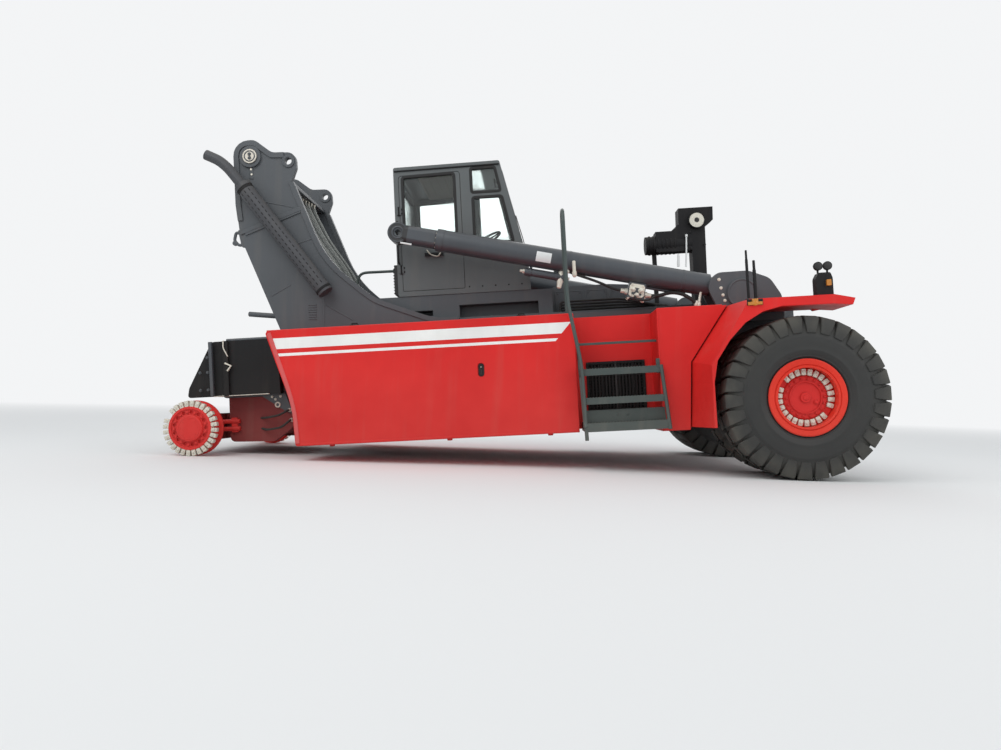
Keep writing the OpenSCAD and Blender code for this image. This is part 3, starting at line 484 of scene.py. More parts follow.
class Shape:
    """Collects the faces of one piece in level metres; y counts outward from the centre plane."""

    def __init__(self, side):
        self.mesh = bmesh.new()
        self.side = side
        self.slot = 0

    def put(self, x, y, z):
        """One corner, mirrored to the piece's side."""
        return self.mesh.verts.new((x, y * self.side, z))

    def face(self, corners):
        """One face in the slot in use."""
        made = self.mesh.faces.new(corners)
        made.material_index = self.slot

    def skin(self, rings, closed=False):
        """Faces between rings of points of equal count, closed into a loop or capped at both ends."""
        rows = [[self.put(*p) for p in ring] for ring in rings]
        pairs = list(zip(rows, rows[1:]))
        if closed:
            pairs.append((rows[-1], rows[0]))
        for a, b in pairs:
            for i in range(len(a)):
                j = (i + 1) % len(a)
                self.face((a[i], a[j], b[j], b[i]))
        if not closed:
            self.face(rows[0])
            self.face(rows[-1])

    def box(self, x, y, z):
        """Block between pairs of limits."""
        corners = [(x[0], y[0]), (x[1], y[0]), (x[1], y[1]), (x[0], y[1])]
        self.skin([[(px, py, level) for px, py in corners] for level in z])

    def slab(self, outline, y0, y1):
        """Side view outline between two distances from the centre plane."""
        self.skin([[(x, y, z) for x, z in outline] for y in (y0, y1)])

    def lathe(self, profile, x, z, steps, centre_y=0.0):
        """Closed profile of radius and y turned about the y axis through x, z."""
        rings = []
        for i in range(steps):
            a = 2 * math.pi * i / steps
            rings.append([(x + r * math.cos(a), centre_y + y, z + r * math.sin(a)) for r, y in profile])
        self.skin(rings, closed=True)

    def tube(self, points, radius, sides):
        """Round tube along points."""
        path = [Vector(p) for p in points]
        rings = []
        side = None
        for i, p in enumerate(path):
            along = (path[min(i + 1, len(path) - 1)] - path[max(i - 1, 0)]).normalized()
            if side is None:
                side = along.orthogonal().normalized()
            side = (side - along * side.dot(along)).normalized()
            up = along.cross(side)
            rings.append(ring_points(p, side, up, radius, sides))
        self.skin(rings)

    def bolt(self, centre, outward, radius, height):
        """Hexagon head on a washer."""
        c, n = Vector(centre), Vector(outward).normalized()
        side = n.orthogonal().normalized()
        up = n.cross(side)
        for r, sides, low, high in ((radius * 1.5, 16, -0.002, height * 0.25), (radius, 6, 0.0, height)):
            self.skin([ring_points(c + n * d, side, up, r, sides) for d in (low, high)])

    def turned(self, base, along, profile, sides):
        """Round form from pairs of distance and radius along a direction."""
        at, ahead = Vector(base), Vector(along).normalized()
        side = ahead.orthogonal().normalized()
        up = ahead.cross(side)
        self.skin([ring_points(at + ahead * d, side, up, r, sides) for d, r in profile])

    def trim(self, route, normal, width, low, high, closed=True):
        """Raised band with chamfered edges along a route on a plane."""
        up = Vector(normal).normalized()
        path = [Vector(p) for p in route]
        rings = []
        for i, p in enumerate(path):
            before = path[i - 1] if closed or i else p
            after = path[(i + 1) % len(path)] if closed or i + 1 < len(path) else p
            side = (after - before).normalized().cross(up) * width / 2
            brim = high * 0.6 if high > 0 else high
            section = ((-1, low), (-1, brim), (-0.7, high), (0.7, high), (1, brim), (1, low))
            rings.append([tuple(p + side * s + up * h) for s, h in section])
        self.skin(rings, closed=closed)

    def strip(self, route, normal, width, low, high):
        """Trim whose ends stay apart."""
        self.trim(route, normal, width, low, high, closed=False)

    def pipe(self, points, bend, radius, sides):
        """Round tube along points, with its corners bent."""
        self.tube(bend_route(points, bend), radius, sides)

    def plate(self, corners, y0, y1, radius):
        """Side view plate whose corners are rounded."""
        self.slab([tuple(p) for p in rounded([(x, z, radius) for x, z in corners])], y0, y1)

    def bolts(self, places, y, radius, height):
        """Bolt heads on an upright face, facing outward."""
        for x, z in places:
            self.bolt((x, y, z), OUTWARD, radius, height)

    def make(self, name, body, finishes, bevel=0.0, smooth=35, replaces=(), centre=None):
        """Closes the piece, gives it its finish and lets it ride on a body."""
        bmesh.ops.recalc_face_normals(self.mesh, faces=self.mesh.faces)
        data = bpy.data.meshes.new(name)
        self.mesh.to_mesh(data)
        self.mesh.free()
        data.transform(LEVEL)
        if centre:
            data.transform(Matrix.Translation(-centre))
        for finish in [finishes] if isinstance(finishes, str) else finishes:
            data.materials.append(MATERIALS[finish])
        data.shade_smooth()
        data.set_sharp_from_angle(angle=math.radians(smooth))
        piece = bpy.data.objects.new(name, data)
        bpy.context.scene.collection.objects.link(piece)
        if centre:
            piece.matrix_world = Matrix.Translation(centre)
        if bevel:
            rounding = piece.modifiers.new("Rounding", "BEVEL")
            rounding.width = bevel
            rounding.segments = 2
            rounding.limit_method = "ANGLE"
            rounding.angle_limit = math.radians(40)
            rounding.harden_normals = False
        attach(piece, body)
        if replaces:
            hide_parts(*replaces)
        return piece


# Steps along one rounded corner
CORNER_STEPS = 5


def rounded(corners):
    """Closed outline from corners of x, z and radius."""
    made = []
    for i, (x, z, r) in enumerate(corners):
        at = Vector((x, z))
        before = Vector(corners[i - 1][:2])
        after = Vector(corners[(i + 1) % len(corners)][:2])
        if not r:
            made.append(at)
            continue
        a = at + (before - at).normalized() * r
        c = at + (after - at).normalized() * r
        for k in range(CORNER_STEPS + 1):
            t = k / CORNER_STEPS
            made.append((1 - t) ** 2 * a + 2 * t * (1 - t) * at + t * t * c)
    return made


def side_loop(corners, y):
    """Rounded outline standing at a distance from the centre plane."""
    return [(p.x, y, p.y) for p in rounded(corners)]


def circle(x, y, z, radius, steps=40):
    """Circle in the side view."""
    turns = [2 * math.pi * k / steps for k in range(steps)]
    return [(x + radius * math.cos(a), y, z + radius * math.sin(a)) for a in turns]


def bend_route(points, reach, steps=CORNER_STEPS):
    """Route whose inner points are rounded off over a reach."""
    path = [Vector(p) for p in points]
    made = [path[0]]
    for before, at, after in zip(path, path[1:], path[2:]):
        a = at + (before - at).normalized() * min(reach, (before - at).length * 0.45)
        c = at + (after - at).normalized() * min(reach, (after - at).length * 0.45)
        for k in range(steps + 1):
            t = k / steps
            made.append((1 - t) ** 2 * a + 2 * t * (1 - t) * at + t * t * c)
    made.append(path[-1])
    return made


# Sizes and colours


def colour(name, text, value):
    """Property for one colour."""
    return FloatVectorProperty(
        name=name, description=text, default=value, subtype="COLOR", size=3, min=0.0, max=1.0,
    )


class PaintColours(bpy.types.PropertyGroup):
    """Paint colours, linear."""

    body_red: colour("Body red", "Tanks, covers, fenders and hubs", (0.70, 0.020, 0.018))
    rim_red: colour("Rim red", "Wheel rims", (0.78, 0.034, 0.016))
    axle_red: colour("Axle red", "Axles and knuckles", (0.21, 0.010, 0.011))
    frame_grey: colour("Frame grey", "Frame plates and towers", (0.070, 0.078, 0.086))
    cab_grey: colour("Cab grey", "Cab walls and doors", (0.090, 0.101, 0.103))
    tube_grey: colour("Tube grey", "Lift cylinder tubes", (0.052, 0.060, 0.070))
    ladder_grey: colour("Ladder grey", "Steps and handrails", (0.042, 0.062, 0.058))
    exhaust_grey: colour("Exhaust grey", "Exhaust pipe and its guard", (0.052, 0.054, 0.060))
    black: colour("Black", "Tail frame, hood and small parts", (0.010, 0.010, 0.011))
    stripe: colour("Stripe", "Stripes on the tanks", (0.88, 0.88, 0.85))
    amber: colour("Amber", "Marker lamps", (0.85, 0.33, 0.04))


class TyreSizes(bpy.types.PropertyGroup):
    """Tyre tread."""

    lugs: IntProperty(name="Lugs", description="Lugs round one shoulder", default=30, min=20, max=40)
    lug_share: FloatProperty(
        name="Lug share", description="Part of the pitch that a lug fills", default=0.85, min=0.5, max=0.9,
        subtype="FACTOR",
    )
    lug_skew: FloatProperty(
        name="Lug skew", description="How far a lug's inner end runs round", default=0.05, min=0.0, max=0.1,
        unit="LENGTH",
    )


class StageSettings(bpy.types.PropertyGroup):
    """Camera and lamps."""

    camera_at: FloatVectorProperty(
        name="Camera place", description="In the level machine's axes", default=(-2.644, -9.563, 0.919),
        subtype="TRANSLATION", unit="LENGTH",
    )
    camera_turn: FloatVectorProperty(
        name="Camera turn", description="Tilt up, roll and swing",
        default=(math.radians(2.0473), math.radians(-2.9684), math.radians(2.5365)), subtype="EULER",
        unit="ROTATION",
    )
    lens: FloatProperty(
        name="Lens", description="Focal length on a 36 mm wide sensor", default=27.33, min=10.0, max=100.0,
    )
    sky: FloatProperty(name="Sky", description="Strength of the even light", default=0.68, min=0.0, max=3.0)
    key: FloatProperty(
        name="Key", description="Power of the large soft lamp in watts", default=620.0, min=0.0, max=5000.0,
    )


# Operators


class Build(bpy.types.Operator):
    """Base of the building operators."""

    bl_options = {"REGISTER", "UNDO"}

    def execute(self, context):
        self.build(context.scene)
        return {"FINISHED"}


class STACKER_OT_finishes(Build):
    """Builds the materials and gives each CAD node its finish"""

    bl_idname = "stacker.finishes"
    bl_label = "Finishes"

    def build(self, scene):
        build_materials(scene.stacker_colours)
        for finish, names in NODE_FINISH.items():
            for name in names:
                made = frame["nodes"][name]
                made.data.materials.clear()
                made.data.materials.append(MATERIALS[finish])


def tyre_profile():
    """Closed half section and its mirror: radius and offset from the tyre's centre plane."""
    half = [
        (0.322, 0.150), (0.324, 0.184), (0.338, 0.196), (0.372, 0.199), (0.388, 0.204), (0.394, 0.216),
        (0.404, 0.224), (0.412, 0.224), (0.420, 0.229), (0.436, 0.239), (0.456, 0.2445), (0.462, 0.2475),
        (0.474, 0.2475), (0.480, 0.246), (0.520, 0.2485), (0.560, 0.2480), (0.590, 0.2450), (0.600, 0.2450),
        (0.606, 0.2420), (0.640, 0.2370), (0.690, 0.2270), (0.735, 0.2120), (0.760, 0.1900), (0.771, 0.1500),
        (0.776, 0.0800),
    ]
    return half + [(0.777, 0.0)] + [(r, -y) for r, y in reversed(half)]


# Stations along a lug: radius, offset, half width share, skew share
LUG = [
    (0.628, 0.2400, 0.74, 0.0), (0.636, 0.2490, 0.78, 0.0), (0.700, 0.2480, 0.90, 0.0),
    (0.768, 0.2400, 0.99, 0.0), (0.797, 0.2220, 1.0, 0.05), (0.807, 0.1700, 0.98, 0.25),
    (0.8095, 0.0950, 0.88, 0.6), (0.8095, 0.0250, 0.74, 1.0),
]
LUG_ROOT = 0.055
LUG_EDGE = 0.006


def add_tyre(shape, centre, sizes):
    """One tyre on the drive axle, with lugs on both shoulders."""
    shape.lathe(tyre_profile(), 0.0, TYRE_R, 120, centre_y=centre)
    pitch = 2 * math.pi / sizes.lugs
    half = math.pi * TYRE_R / sizes.lugs * sizes.lug_share
    for shoulder in (1, -1):
        for i in range(sizes.lugs):
            turn = pitch * (i + (0.5 if shoulder < 0 else 0.0))
            rings = []
            for r, y, share, skew in LUG:
                inner = Vector((r - 0.62, y - 0.10)).normalized() * LUG_ROOT
                top = 1 - LUG_EDGE / half
                section = (
                    (-1, LUG_ROOT), (-1, LUG_EDGE), (-top, 0.0), (top, 0.0), (1, LUG_EDGE), (1, LUG_ROOT),
                )
                ring = []
                for across, drop in section:
                    lug_radius = r - inner.x * drop / LUG_ROOT
                    offset = y - inner.y * drop / LUG_ROOT
                    a = turn + (across * half * share + skew * sizes.lug_skew * shoulder) / TYRE_R
                    ring.append((
                        lug_radius * math.cos(a), centre + shoulder * offset,
                        TYRE_R + lug_radius * math.sin(a),
                    ))
                rings.append(ring)
            shape.skin(rings)


class STACKER_OT_tyres(Build):
    """Builds the twin tyres of both drive wheels"""

    bl_idname = "stacker.tyres"
    bl_label = "Tyres"

    def build(self, scene):
        for name, side in SIDES.items():
            low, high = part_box("drive_tyres_" + name)
            near, reach = sorted((abs(low.y), abs(high.y)))
            shape = Shape(side)
            for centre in (near + TYRE_HALF_WIDTH, reach - TYRE_HALF_WIDTH):
                add_tyre(shape, centre, scene.stacker_tyre)
            axle = LEVEL @ Vector((0, 0, TYRE_R))
            shape.make(
                "tyres_" + name, "drive_wheel_" + name, "Tyre rubber", smooth=32,
                replaces=("drive_tyres_" + name,), centre=axle,
            )


# Outline of a wedge's face with its corners cut
WEDGE_FACE = [(-1, -0.8), (-0.8, -1), (0.8, -1), (1, -0.8), (1, 0.8), (0.8, 1), (-0.8, 1), (-1, 0.8)]
WEDGE_NUT = 0.0095


def add_wedges(shape, x, radius, y0, y1, depth, width, count, skip):
    """Wedge blocks round a circle but for the skipped ones, each with a nut on its stud."""
    for i in range(count):
        if i in skip:
            continue
        a = 2 * math.pi * (i + 0.5) / count
        out = Vector((math.cos(a), 0, math.sin(a)))
        around = Vector((-math.sin(a), 0, math.cos(a)))
        centre = Vector((x, 0, TYRE_R))
        rings = []
        for y, grow in ((y0, 1.0), (y1 - 0.006, 1.0), (y1, 0.84)):
            ring = []
            for u, v in WEDGE_FACE:
                p = centre + out * (radius + v * grow * depth / 2) + around * (u * grow * width / 2)
                ring.append((p.x, y, p.z))
            rings.append(ring)
        shape.skin(rings)
        p = centre + out * radius
        shape.bolt((p.x, y1, p.z), OUTWARD, WEDGE_NUT, WEDGE_NUT * 0.9)


class STACKER_OT_wedges(Build):
    """Builds the wedge clamps with their nuts on the drive and steer hubs"""

    bl_idname = "stacker.wedges"
    bl_label = "Wedge clamps"

    def build(self, scene):
        for name, side in SIDES.items():
            outer = reach_of("drive_hub_" + name)
            shape = Shape(side)
            add_wedges(shape, 0, 0.2525, outer - 0.040, outer - 0.006, 0.066, 0.046, 26, (10, 23))
            shape.make("wedges_drive_" + name, "drive_wheel_" + name, "Wedge steel", smooth=30)
            outer = reach_of("steer_hub_" + name)
            shape = Shape(side)
            add_wedges(shape, STEER_X, 0.268, outer - 0.073, outer - 0.018, 0.071, 0.045, 28, (11,))
            shape.make("wedges_steer_" + name, "steer_hub_" + name, "Wedge steel", smooth=30)


# Cab windows: x, z, corner radius
DOOR_PANE = [(-4.092, 2.96, 0.04), (-4.092, 3.655, 0.04), (-3.47, 3.67, 0.04), (-3.47, 2.94, 0.04)]
SIDE_PANES = {
    "right": [
        [(-3.27, 3.42, 0.03), (-3.27, 3.712, 0.03), (-2.985, 3.716, 0.03), (-2.925, 3.42, 0.03)],
        [(-3.26, 2.86, 0.04), (-3.26, 3.36, 0.03), (-2.915, 3.36, 0.03), (-2.8, 2.8, 0.04)],
    ],
    "left": [[(-3.27, 2.86, 0.04), (-3.27, 3.712, 0.03), (-2.985, 3.716, 0.03), (-2.8, 2.8, 0.04)]],
}
CAB_Y = 0.65
CAB_BACK = -4.2
SCREEN_TOP_X = -2.903
SCREEN_TOP_Z = 3.69
SCREEN_RAKE = 0.2288
SCREEN_SLOPE = Vector((0.99, 0, 0.2265)).normalized()


def screen_point(y, z, lift=0.0):
    """Point on the windscreen's outer face, lifted off it."""
    return Vector((SCREEN_TOP_X + (SCREEN_TOP_Z - z) * SCREEN_RAKE, y, z)) + SCREEN_SLOPE * lift


def add_window_seals(name, side):
    """Rubber round every side pane, and the door gap."""
    seals = Shape(side)
    for pane in [DOOR_PANE, *SIDE_PANES[name]]:
        seals.trim(side_loop(pane, CAB_Y), OUTWARD, 0.034, -0.022, 0.005)
    door = [
        (-4.1375, 2.2875, 0.02), (-4.1375, 3.6725, 0.04), (-3.4025, 3.6905, 0.04), (-3.4025, 2.2875, 0.02),
    ]
    seals.trim(side_loop(door, CAB_Y), OUTWARD, 0.007, -0.02, -0.004)
    seals.make("window_seals_" + name, "carrier", "Black rubber", smooth=50)


def add_door_fittings(name, side):
    """Door grip, hinges, gutter, grab rail and panel seam."""
    fittings = Shape(side)
    grip = [
        (-3.835, CAB_Y, 2.765), (-3.83, 0.692, 2.755), (-3.79, 0.698, 2.70), (-3.70, 0.698, 2.668),
        (-3.672, 0.692, 2.715), (-3.668, CAB_Y, 2.722),
    ]
    fittings.pipe(grip, 0.03, 0.008, 10)
    fittings.slot = 1
    fittings.strip([(-3.86, 0.676, 2.705), (-3.64, 0.676, 2.705)], OUTWARD, 0.044, -0.01, 0.002)
    for z in (2.545, 3.245):
        fittings.turned(
            (-4.1475, 0.662, z - 0.055), UP, [(0, 0.006), (0.004, 0.011), (0.106, 0.011), (0.11, 0.006)], 14,
        )
        fittings.bolts([(-4.115, z - 0.025), (-4.115, z + 0.025)], 0.651, 0.007, 0.005)
    # gutter over the door, grab rail at the rear pillar and the panel seam below the front window
    fittings.strip([(-4.185, CAB_Y, 3.728), (-2.93, CAB_Y, 3.741)], OUTWARD, 0.016, -0.002, 0.016)
    fittings.pipe([
        (-4.17, CAB_Y, 2.62), (-4.17, 0.70, 2.62), (-4.17, 0.70, 3.12), (-4.17, CAB_Y, 3.12),
    ], 0.03, 0.010, 10)
    fittings.strip([(-3.385, CAB_Y, 2.745), (-2.715, CAB_Y, 2.735)], OUTWARD, 0.008, -0.002, 0.002)
    fittings.bolts([(-3.35 + 0.155 * k, 2.30) for k in range(5)], CAB_Y, 0.006, 0.004)
    fittings.make("door_fittings_" + name, "carrier", ["Bare steel", "Black paint"], smooth=40)


def add_windscreen_seals():
    """Rubber round the windscreen, the rear pane and the roof pane."""
    panes = Shape(1)
    screen = rounded([(-0.56, 3.69, 0.05), (0.56, 3.69, 0.05), (0.56, 2.70, 0.05), (-0.56, 2.70, 0.05)])
    panes.trim([tuple(screen_point(p.x, p.y)) for p in screen], SCREEN_SLOPE, 0.036, -0.02, 0.006)
    rear = rounded([(-0.54, 3.64, 0.05), (0.54, 3.64, 0.05), (0.54, 2.9, 0.05), (-0.54, 2.9, 0.05)])
    panes.trim([(CAB_BACK, p.x, p.y) for p in rear], BACKWARD, 0.036, -0.02, 0.006)
    # the roof pane lies on a roof that rises to the front
    roof = rounded([(-3.9, -0.52, 0.05), (-3.15, -0.52, 0.05), (-3.15, 0.52, 0.05), (-3.9, 0.52, 0.05)])
    route = [(p.x, p.y, 3.7785 + (p.x + 3.9) * 0.0095) for p in roof]
    panes.trim(route, UP, 0.036, -0.02, 0.005)
    panes.make("windscreen_seals", "carrier", "Black rubber", smooth=50)


def add_wiper():
    """Windscreen wiper with its twin arms."""
    wiper = Shape(1)
    wiper.turned(
        screen_point(-0.12, 2.655, -0.01), SCREEN_SLOPE,
        [(0, 0.022), (0.03, 0.022), (0.042, 0.014), (0.05, 0.008)], 18,
    )
    for y in (-0.135, -0.105):
        wiper.tube([
            screen_point(y, 2.655, 0.03), screen_point(y - 0.06, 2.93, 0.036),
            screen_point(y - 0.13, 3.20, 0.026),
        ], 0.0045, 8)
    wiper.tube([
        screen_point(-0.24, 2.96, 0.012), screen_point(-0.25, 3.2, 0.014), screen_point(-0.255, 3.46, 0.012),
    ], 0.007, 8)
    wiper.tube([
        screen_point(-0.24, 2.96, 0.006), screen_point(-0.25, 3.2, 0.006), screen_point(-0.255, 3.46, 0.006),
    ], 0.004, 6)
    wiper.make("wiper", "carrier", "Black plastic", smooth=40)


def add_mirror():
    """Inside mirror on its stalk."""
    mirror = Shape(1)
    mirror.turned(
        (-2.985, -0.36, 3.60), (-1, 0, -0.12),
        [(0, 0.02), (0.006, 0.052), (0.014, 0.058), (0.022, 0.058), (0.024, 0.05)], 30,
    )
    mirror.pipe([(-2.975, -0.36, 3.60), (-2.965, -0.36, 3.68), (-2.972, -0.36, 3.735)], 0.02, 0.007, 8)
    mirror.make("inside_mirror", "carrier", "Black plastic", smooth=40)


def add_roof_liner():
    """Ribbed liner under the roof and the rear wall panel."""
    liner = Shape(1)
    liner.box((-3.93, -3.40), (-0.55, 0.55), (3.690, 3.706))
    for k in range(6):
        liner.tube([(-3.90 + 0.095 * k, -0.54, 3.689), (-3.90 + 0.095 * k, 0.54, 3.689)], 0.004, 6)
    rear = rounded([(-0.60, 2.32, 0.03), (0.60, 2.32, 0.03), (0.60, 2.86, 0.03), (-0.60, 2.86, 0.03)])
    liner.trim([(-4.145, p.x, p.y) for p in rear], FORWARD, 0.02, -0.003, 0.006)
    liner.make("roof_liner", "carrier", "Roof liner", bevel=0.003)


def add_rear_louvre():
    """Air intake on the cab's rear wall."""
    louvre = Shape(1)
    face = -4.252
    louvre.box((face, -4.196), (-0.56, -0.20), (2.262, 2.625))
    for k in range(9):
        z = 2.29 + 0.036 * k
        blade = [(face, z), (-4.272, z - 0.006), (-4.272, z - 0.001), (face, z + 0.022)]
        louvre.slab(blade, -0.54, -0.22)
    for y in (-0.545, -0.215):
        for z in (2.275, 2.612):
            louvre.bolt((face, y, z), BACKWARD, 0.006, 0.005)
    louvre.make("rear_louvre", "carrier", "Black plastic", bevel=0.002)


def add_guard_rail():
    """Rail from the rear wall to the deck."""
    rail = Shape(1)
    y = -0.3
    route = bend_route([
        (-4.19, y, 2.60), (-4.40, y, 2.602), (-4.72, y, 2.605), (-4.77, y, 2.48), (-4.80, y, 1.815),
    ], 0.09)
    rail.tube(route, 0.017, 12)
    rail.turned((-4.80, y, 1.818), UP, [(0, 0.045), (0.008, 0.045), (0.009, 0.02)], 20)
    rail.turned((-4.275, y, 2.60), BACKWARD, [(0, 0.04), (0.008, 0.04), (0.009, 0.02)], 20)
    rail.make("guard_rail", "carrier", "Ladder grey", smooth=40)


class STACKER_OT_cab(Build):
    """Builds the cab's seals, door fittings, wiper, mirror, roof liner, louvre and guard rail"""

    bl_idname = "stacker.cab"
    bl_label = "Cab fittings"

    def build(self, scene):
        for name, side in SIDES.items():
            add_window_seals(name, side)
            add_door_fittings(name, side)
        add_windscreen_seals()
        add_wiper()
        add_mirror()
        add_roof_liner()
        add_rear_louvre()
        add_guard_rail()


CROWN = 0.012


def cushion(shape, centre, half, lean, channels):
    """Crowned pad whose sides pull in between the corners, with sewn channels across its face."""
    turn = Matrix.Rotation(lean, 3, "Y")
    rings = []
    for i in range(25):
        level = math.pi * (i / 24 - 0.5)
        rise = math.copysign(abs(math.sin(level)) ** 0.55, level)
        spread = max(math.cos(level), 0.0) ** 0.42
        ring = []
        for k in range(72):
            a = 2 * math.pi * k / 72
            u = math.copysign(abs(math.cos(a)) ** 0.42, math.cos(a)) * spread
            v = math.copysign(abs(math.sin(a)) ** 0.42, math.sin(a)) * spread
            pull = 1.0 - 0.03 * math.sin(2 * a + math.pi / 2) ** 2 * spread
            top = rise * half[2] + (CROWN * (1 - u * u) * (1 - v * v) if rise > 0 else 0.0)
            for place in channels:
                if rise > 0:
                    top -= 0.010 * math.exp(-(((v * half[1] - place) / 0.009) ** 2))
            p = turn @ Vector((u * half[0] * pull, v * half[1] * pull, top)) + Vector(centre)
            ring.append(tuple(p))
        rings.append(ring)
    shape.skin(rings)


def add_seat_base():
    """Bellows, pans and arm rests."""
    base = Shape(1)
    for k in range(5):
        z = 2.30 + 0.036 * k
        wide = [(-3.94, -0.165), (-3.57, -0.165), (-3.57, 0.165), (-3.94, 0.165)]
        fold = ((0.0, 0.92), (0.018, 1.0), (0.036, 0.92))
        base.skin([[(-3.755 + (x + 3.755) * g, y * g, z + h) for x, y in wide] for h, g in fold])
    base.box((-3.96, -3.55), (-0.19, 0.19), (2.287, 2.302))
    base.box((-3.97, -3.54), (-0.21, 0.21), (2.48, 2.515))
    base.slab([(-3.985, 2.52), (-4.075, 3.08), (-4.062, 3.083), (-3.968, 2.52)], -0.17, 0.17)
    for y in (-0.235, 0.235):
        base.pipe([(-4.03, y * 0.8, 2.80), (-4.02, y, 2.80), (-3.70, y, 2.80)], 0.02, 0.014, 10)
        base.tube([(-3.98, y, 2.815), (-3.72, y, 2.815)], 0.02, 12)
    base.make("seat_base", "carrier", "Black plastic", bevel=0.004, replaces=("seat",))


def add_seat_pad():
    """Cushion of the seat."""
    pad = Shape(1)
    cushion(pad, (-3.735, 0, 2.59), (0.225, 0.235, 0.068), lean=-0.06, channels=(-0.13, 0.13))
    piece = pad.make("seat_cushion", "carrier", "Cushion cloth", smooth=80, replaces=("seat",))


def add_seat_back():
    """Cushion of the back rest."""
    back = Shape(1)
    cushion(back, (-3.985, 0, 2.90), (0.24, 0.215, 0.055), lean=math.radians(99), channels=(-0.12, 0.12))
    piece = back.make("seat_back", "carrier", "Cushion cloth", smooth=80, replaces=("seat",))


class STACKER_OT_seat(Build):
    """Builds the driver's seat: base, pan, cushions and arm rests"""

    bl_idname = "stacker.seat"
    bl_label = "Driver's seat"

    def build(self, scene):
        add_seat_base()
        add_seat_pad()
        add_seat_back()


def add_fender_lamps(name, side):
    """Stalks, forward lamps and amber marker on one fender."""
    lamps = Shape(side)
    for x, top, r in ((-0.478, 2.303, 0.014), (-0.408, 2.198, 0.017)):
        tip = [(top - 1.90, r), (top - 1.89, r * 0.8), (top - 1.803, r * 0.75), (top - 1.80, r * 0.4)]
        lamps.turned((x, 1.94, 1.80), UP, [(0, 0.034), (0.012, 0.034), (0.02, r), *tip], 14)
    lamps.strip([(-0.50, 1.94, 1.80), (-0.38, 1.94, 1.80)], UP, 0.11, -0.002, 0.008)
    lamps.plate([
        (0.185, 1.80), (0.185, 1.98), (0.215, 2.035), (0.33, 2.035), (0.35, 1.98), (0.35, 1.80),
    ], 1.85, 1.95, 0.015)
    for x in (0.225, 0.318):
        lamps.turned(
            (x, 1.93, 2.104), INWARD,
            [(0.0, 0.036), (0.002, 0.044), (0.03, 0.044), (0.045, 0.036), (0.058, 0.02), (0.06, 0.01)], 24,
        )
        lamps.tube([(x, 1.90, 2.07), (x, 1.90, 2.03)], 0.010, 10)
    lamps.strip([(-0.535, 2.07, 1.765), (-0.38, 2.07, 1.765)], OUTWARD, 0.062, -0.002, 0.004)
    lamps.slot = 1
    lamps.turned(
        (-0.458, 2.073, 1.755), OUTWARD, [(0, 0.020), (0.004, 0.027), (0.018, 0.025), (0.025, 0.014)], 20,
    )
    for middle, half, face_y, shrink in ((1.752, 0.07, 2.094, 0.86), (1.782, 0.03, 2.092, 0.8)):
        corners = ((-half, -0.016), (half, -0.016), (half, 0.016), (-half, 0.016))
        steps = ((2.072, 1.0), (2.086, 1.0), (face_y, shrink))
        lamps.skin([[(-0.458 + x * g, y, middle + z * g) for x, z in corners] for y, g in steps])
    lamps.plate([(0.281, 1.90), (0.281, 1.96), (0.325, 1.96), (0.325, 1.90)], 1.949, 1.975, 0.006)
    lamps.slot = 2
    for x in (0.225, 0.318):
        lamps.turned(
            (x, 1.928, 2.104), OUTWARD, [(0, 0.037), (0.003, 0.036), (0.006, 0.026), (0.0075, 0.01)], 24,
        )
    lamps.make(
        "fender_lamps_" + name, "carrier", ["Black paint", "Amber lens", "Black plastic"],
        bevel=0.0015, replaces=("lamps",),
    )


def add_post_lamp():
    """Round lamp, ribbed motor, cable and bolts on the lamp post."""
    head = Shape(1)
    x, z = -0.584, 2.996
    aim = (0, -1, 0)
    face = -0.338
    motor_y, motor_z = -0.2, 2.74
    head.turned((x, face, z), aim, [(0, 0.099), (0.002, 0.099), (0.0021, 0.07)], 40)
    head.trim(circle(x, face, z, 0.094), aim, 0.012, -0.004, 0.014)
    head.slot = 1
    head.turned((x, face, z), aim, [(0, 0.089), (0.008, 0.088), (0.011, 0.07), (0.012, 0.03)], 40)
    head.slot = 2
    head.turned((x, face - 0.011, z), aim, [(0, 0.030), (0.003, 0.029), (0.005, 0.018), (0.006, 0.008)], 24)
    head.slot = 0
    head.pipe([(-0.70, -0.20, 2.98), (-0.71, -0.20, 3.10), (-0.66, -0.20, 3.12)], 0.02, 0.011, 10)
    # motor end, fins, cable and the clamps that hold it to the post
    for k in range(7):
        head.turned(
            (-1.16 + 0.05 * k, motor_y, motor_z), FORWARD,
            [(0, 0.10), (0.002, 0.118), (0.02, 0.118), (0.022, 0.10)], 32,
        )
    head.turned((-1.198, motor_y, motor_z), FORWARD, [(0, 0.075), (0.004, 0.095), (0.03, 0.108)], 32)
    for px, pz in ((-0.66, 2.86), (-0.66, 2.66), (-0.50, 2.70), (-0.50, 2.30)):
        head.bolt((px, -0.30, pz), aim, 0.013, 0.012)
    head.slot = 3
    head.tube([(-0.715, -0.318, 2.80), (-0.725, -0.318, 2.62), (-0.742, -0.318, 2.44)], 0.010, 10)
    head.turned(
        (-0.715, -0.318, 2.80), (0.04, 0, 1), [(0, 0.008), (0.004, 0.016), (0.03, 0.016), (0.034, 0.009)],
        12,
    )
    head.plate([(-0.845, 2.45), (-0.835, 2.60), (-0.812, 2.60), (-0.815, 2.45)], -0.335, -0.30, 0.008)
    head.make(
        "post_lamp", "carrier", ["Black paint", "Reflector", "Black plastic", "White plate"],
        smooth=40,
    )


class STACKER_OT_lamps(Build):
    """Builds the marker lamps, their stalks, the forward lamps and the round lamp on the post"""

    bl_idname = "stacker.lamps"
    bl_label = "Lamps"

    def build(self, scene):
        for name, side in SIDES.items():
            add_fender_lamps(name, side)
        add_post_lamp()


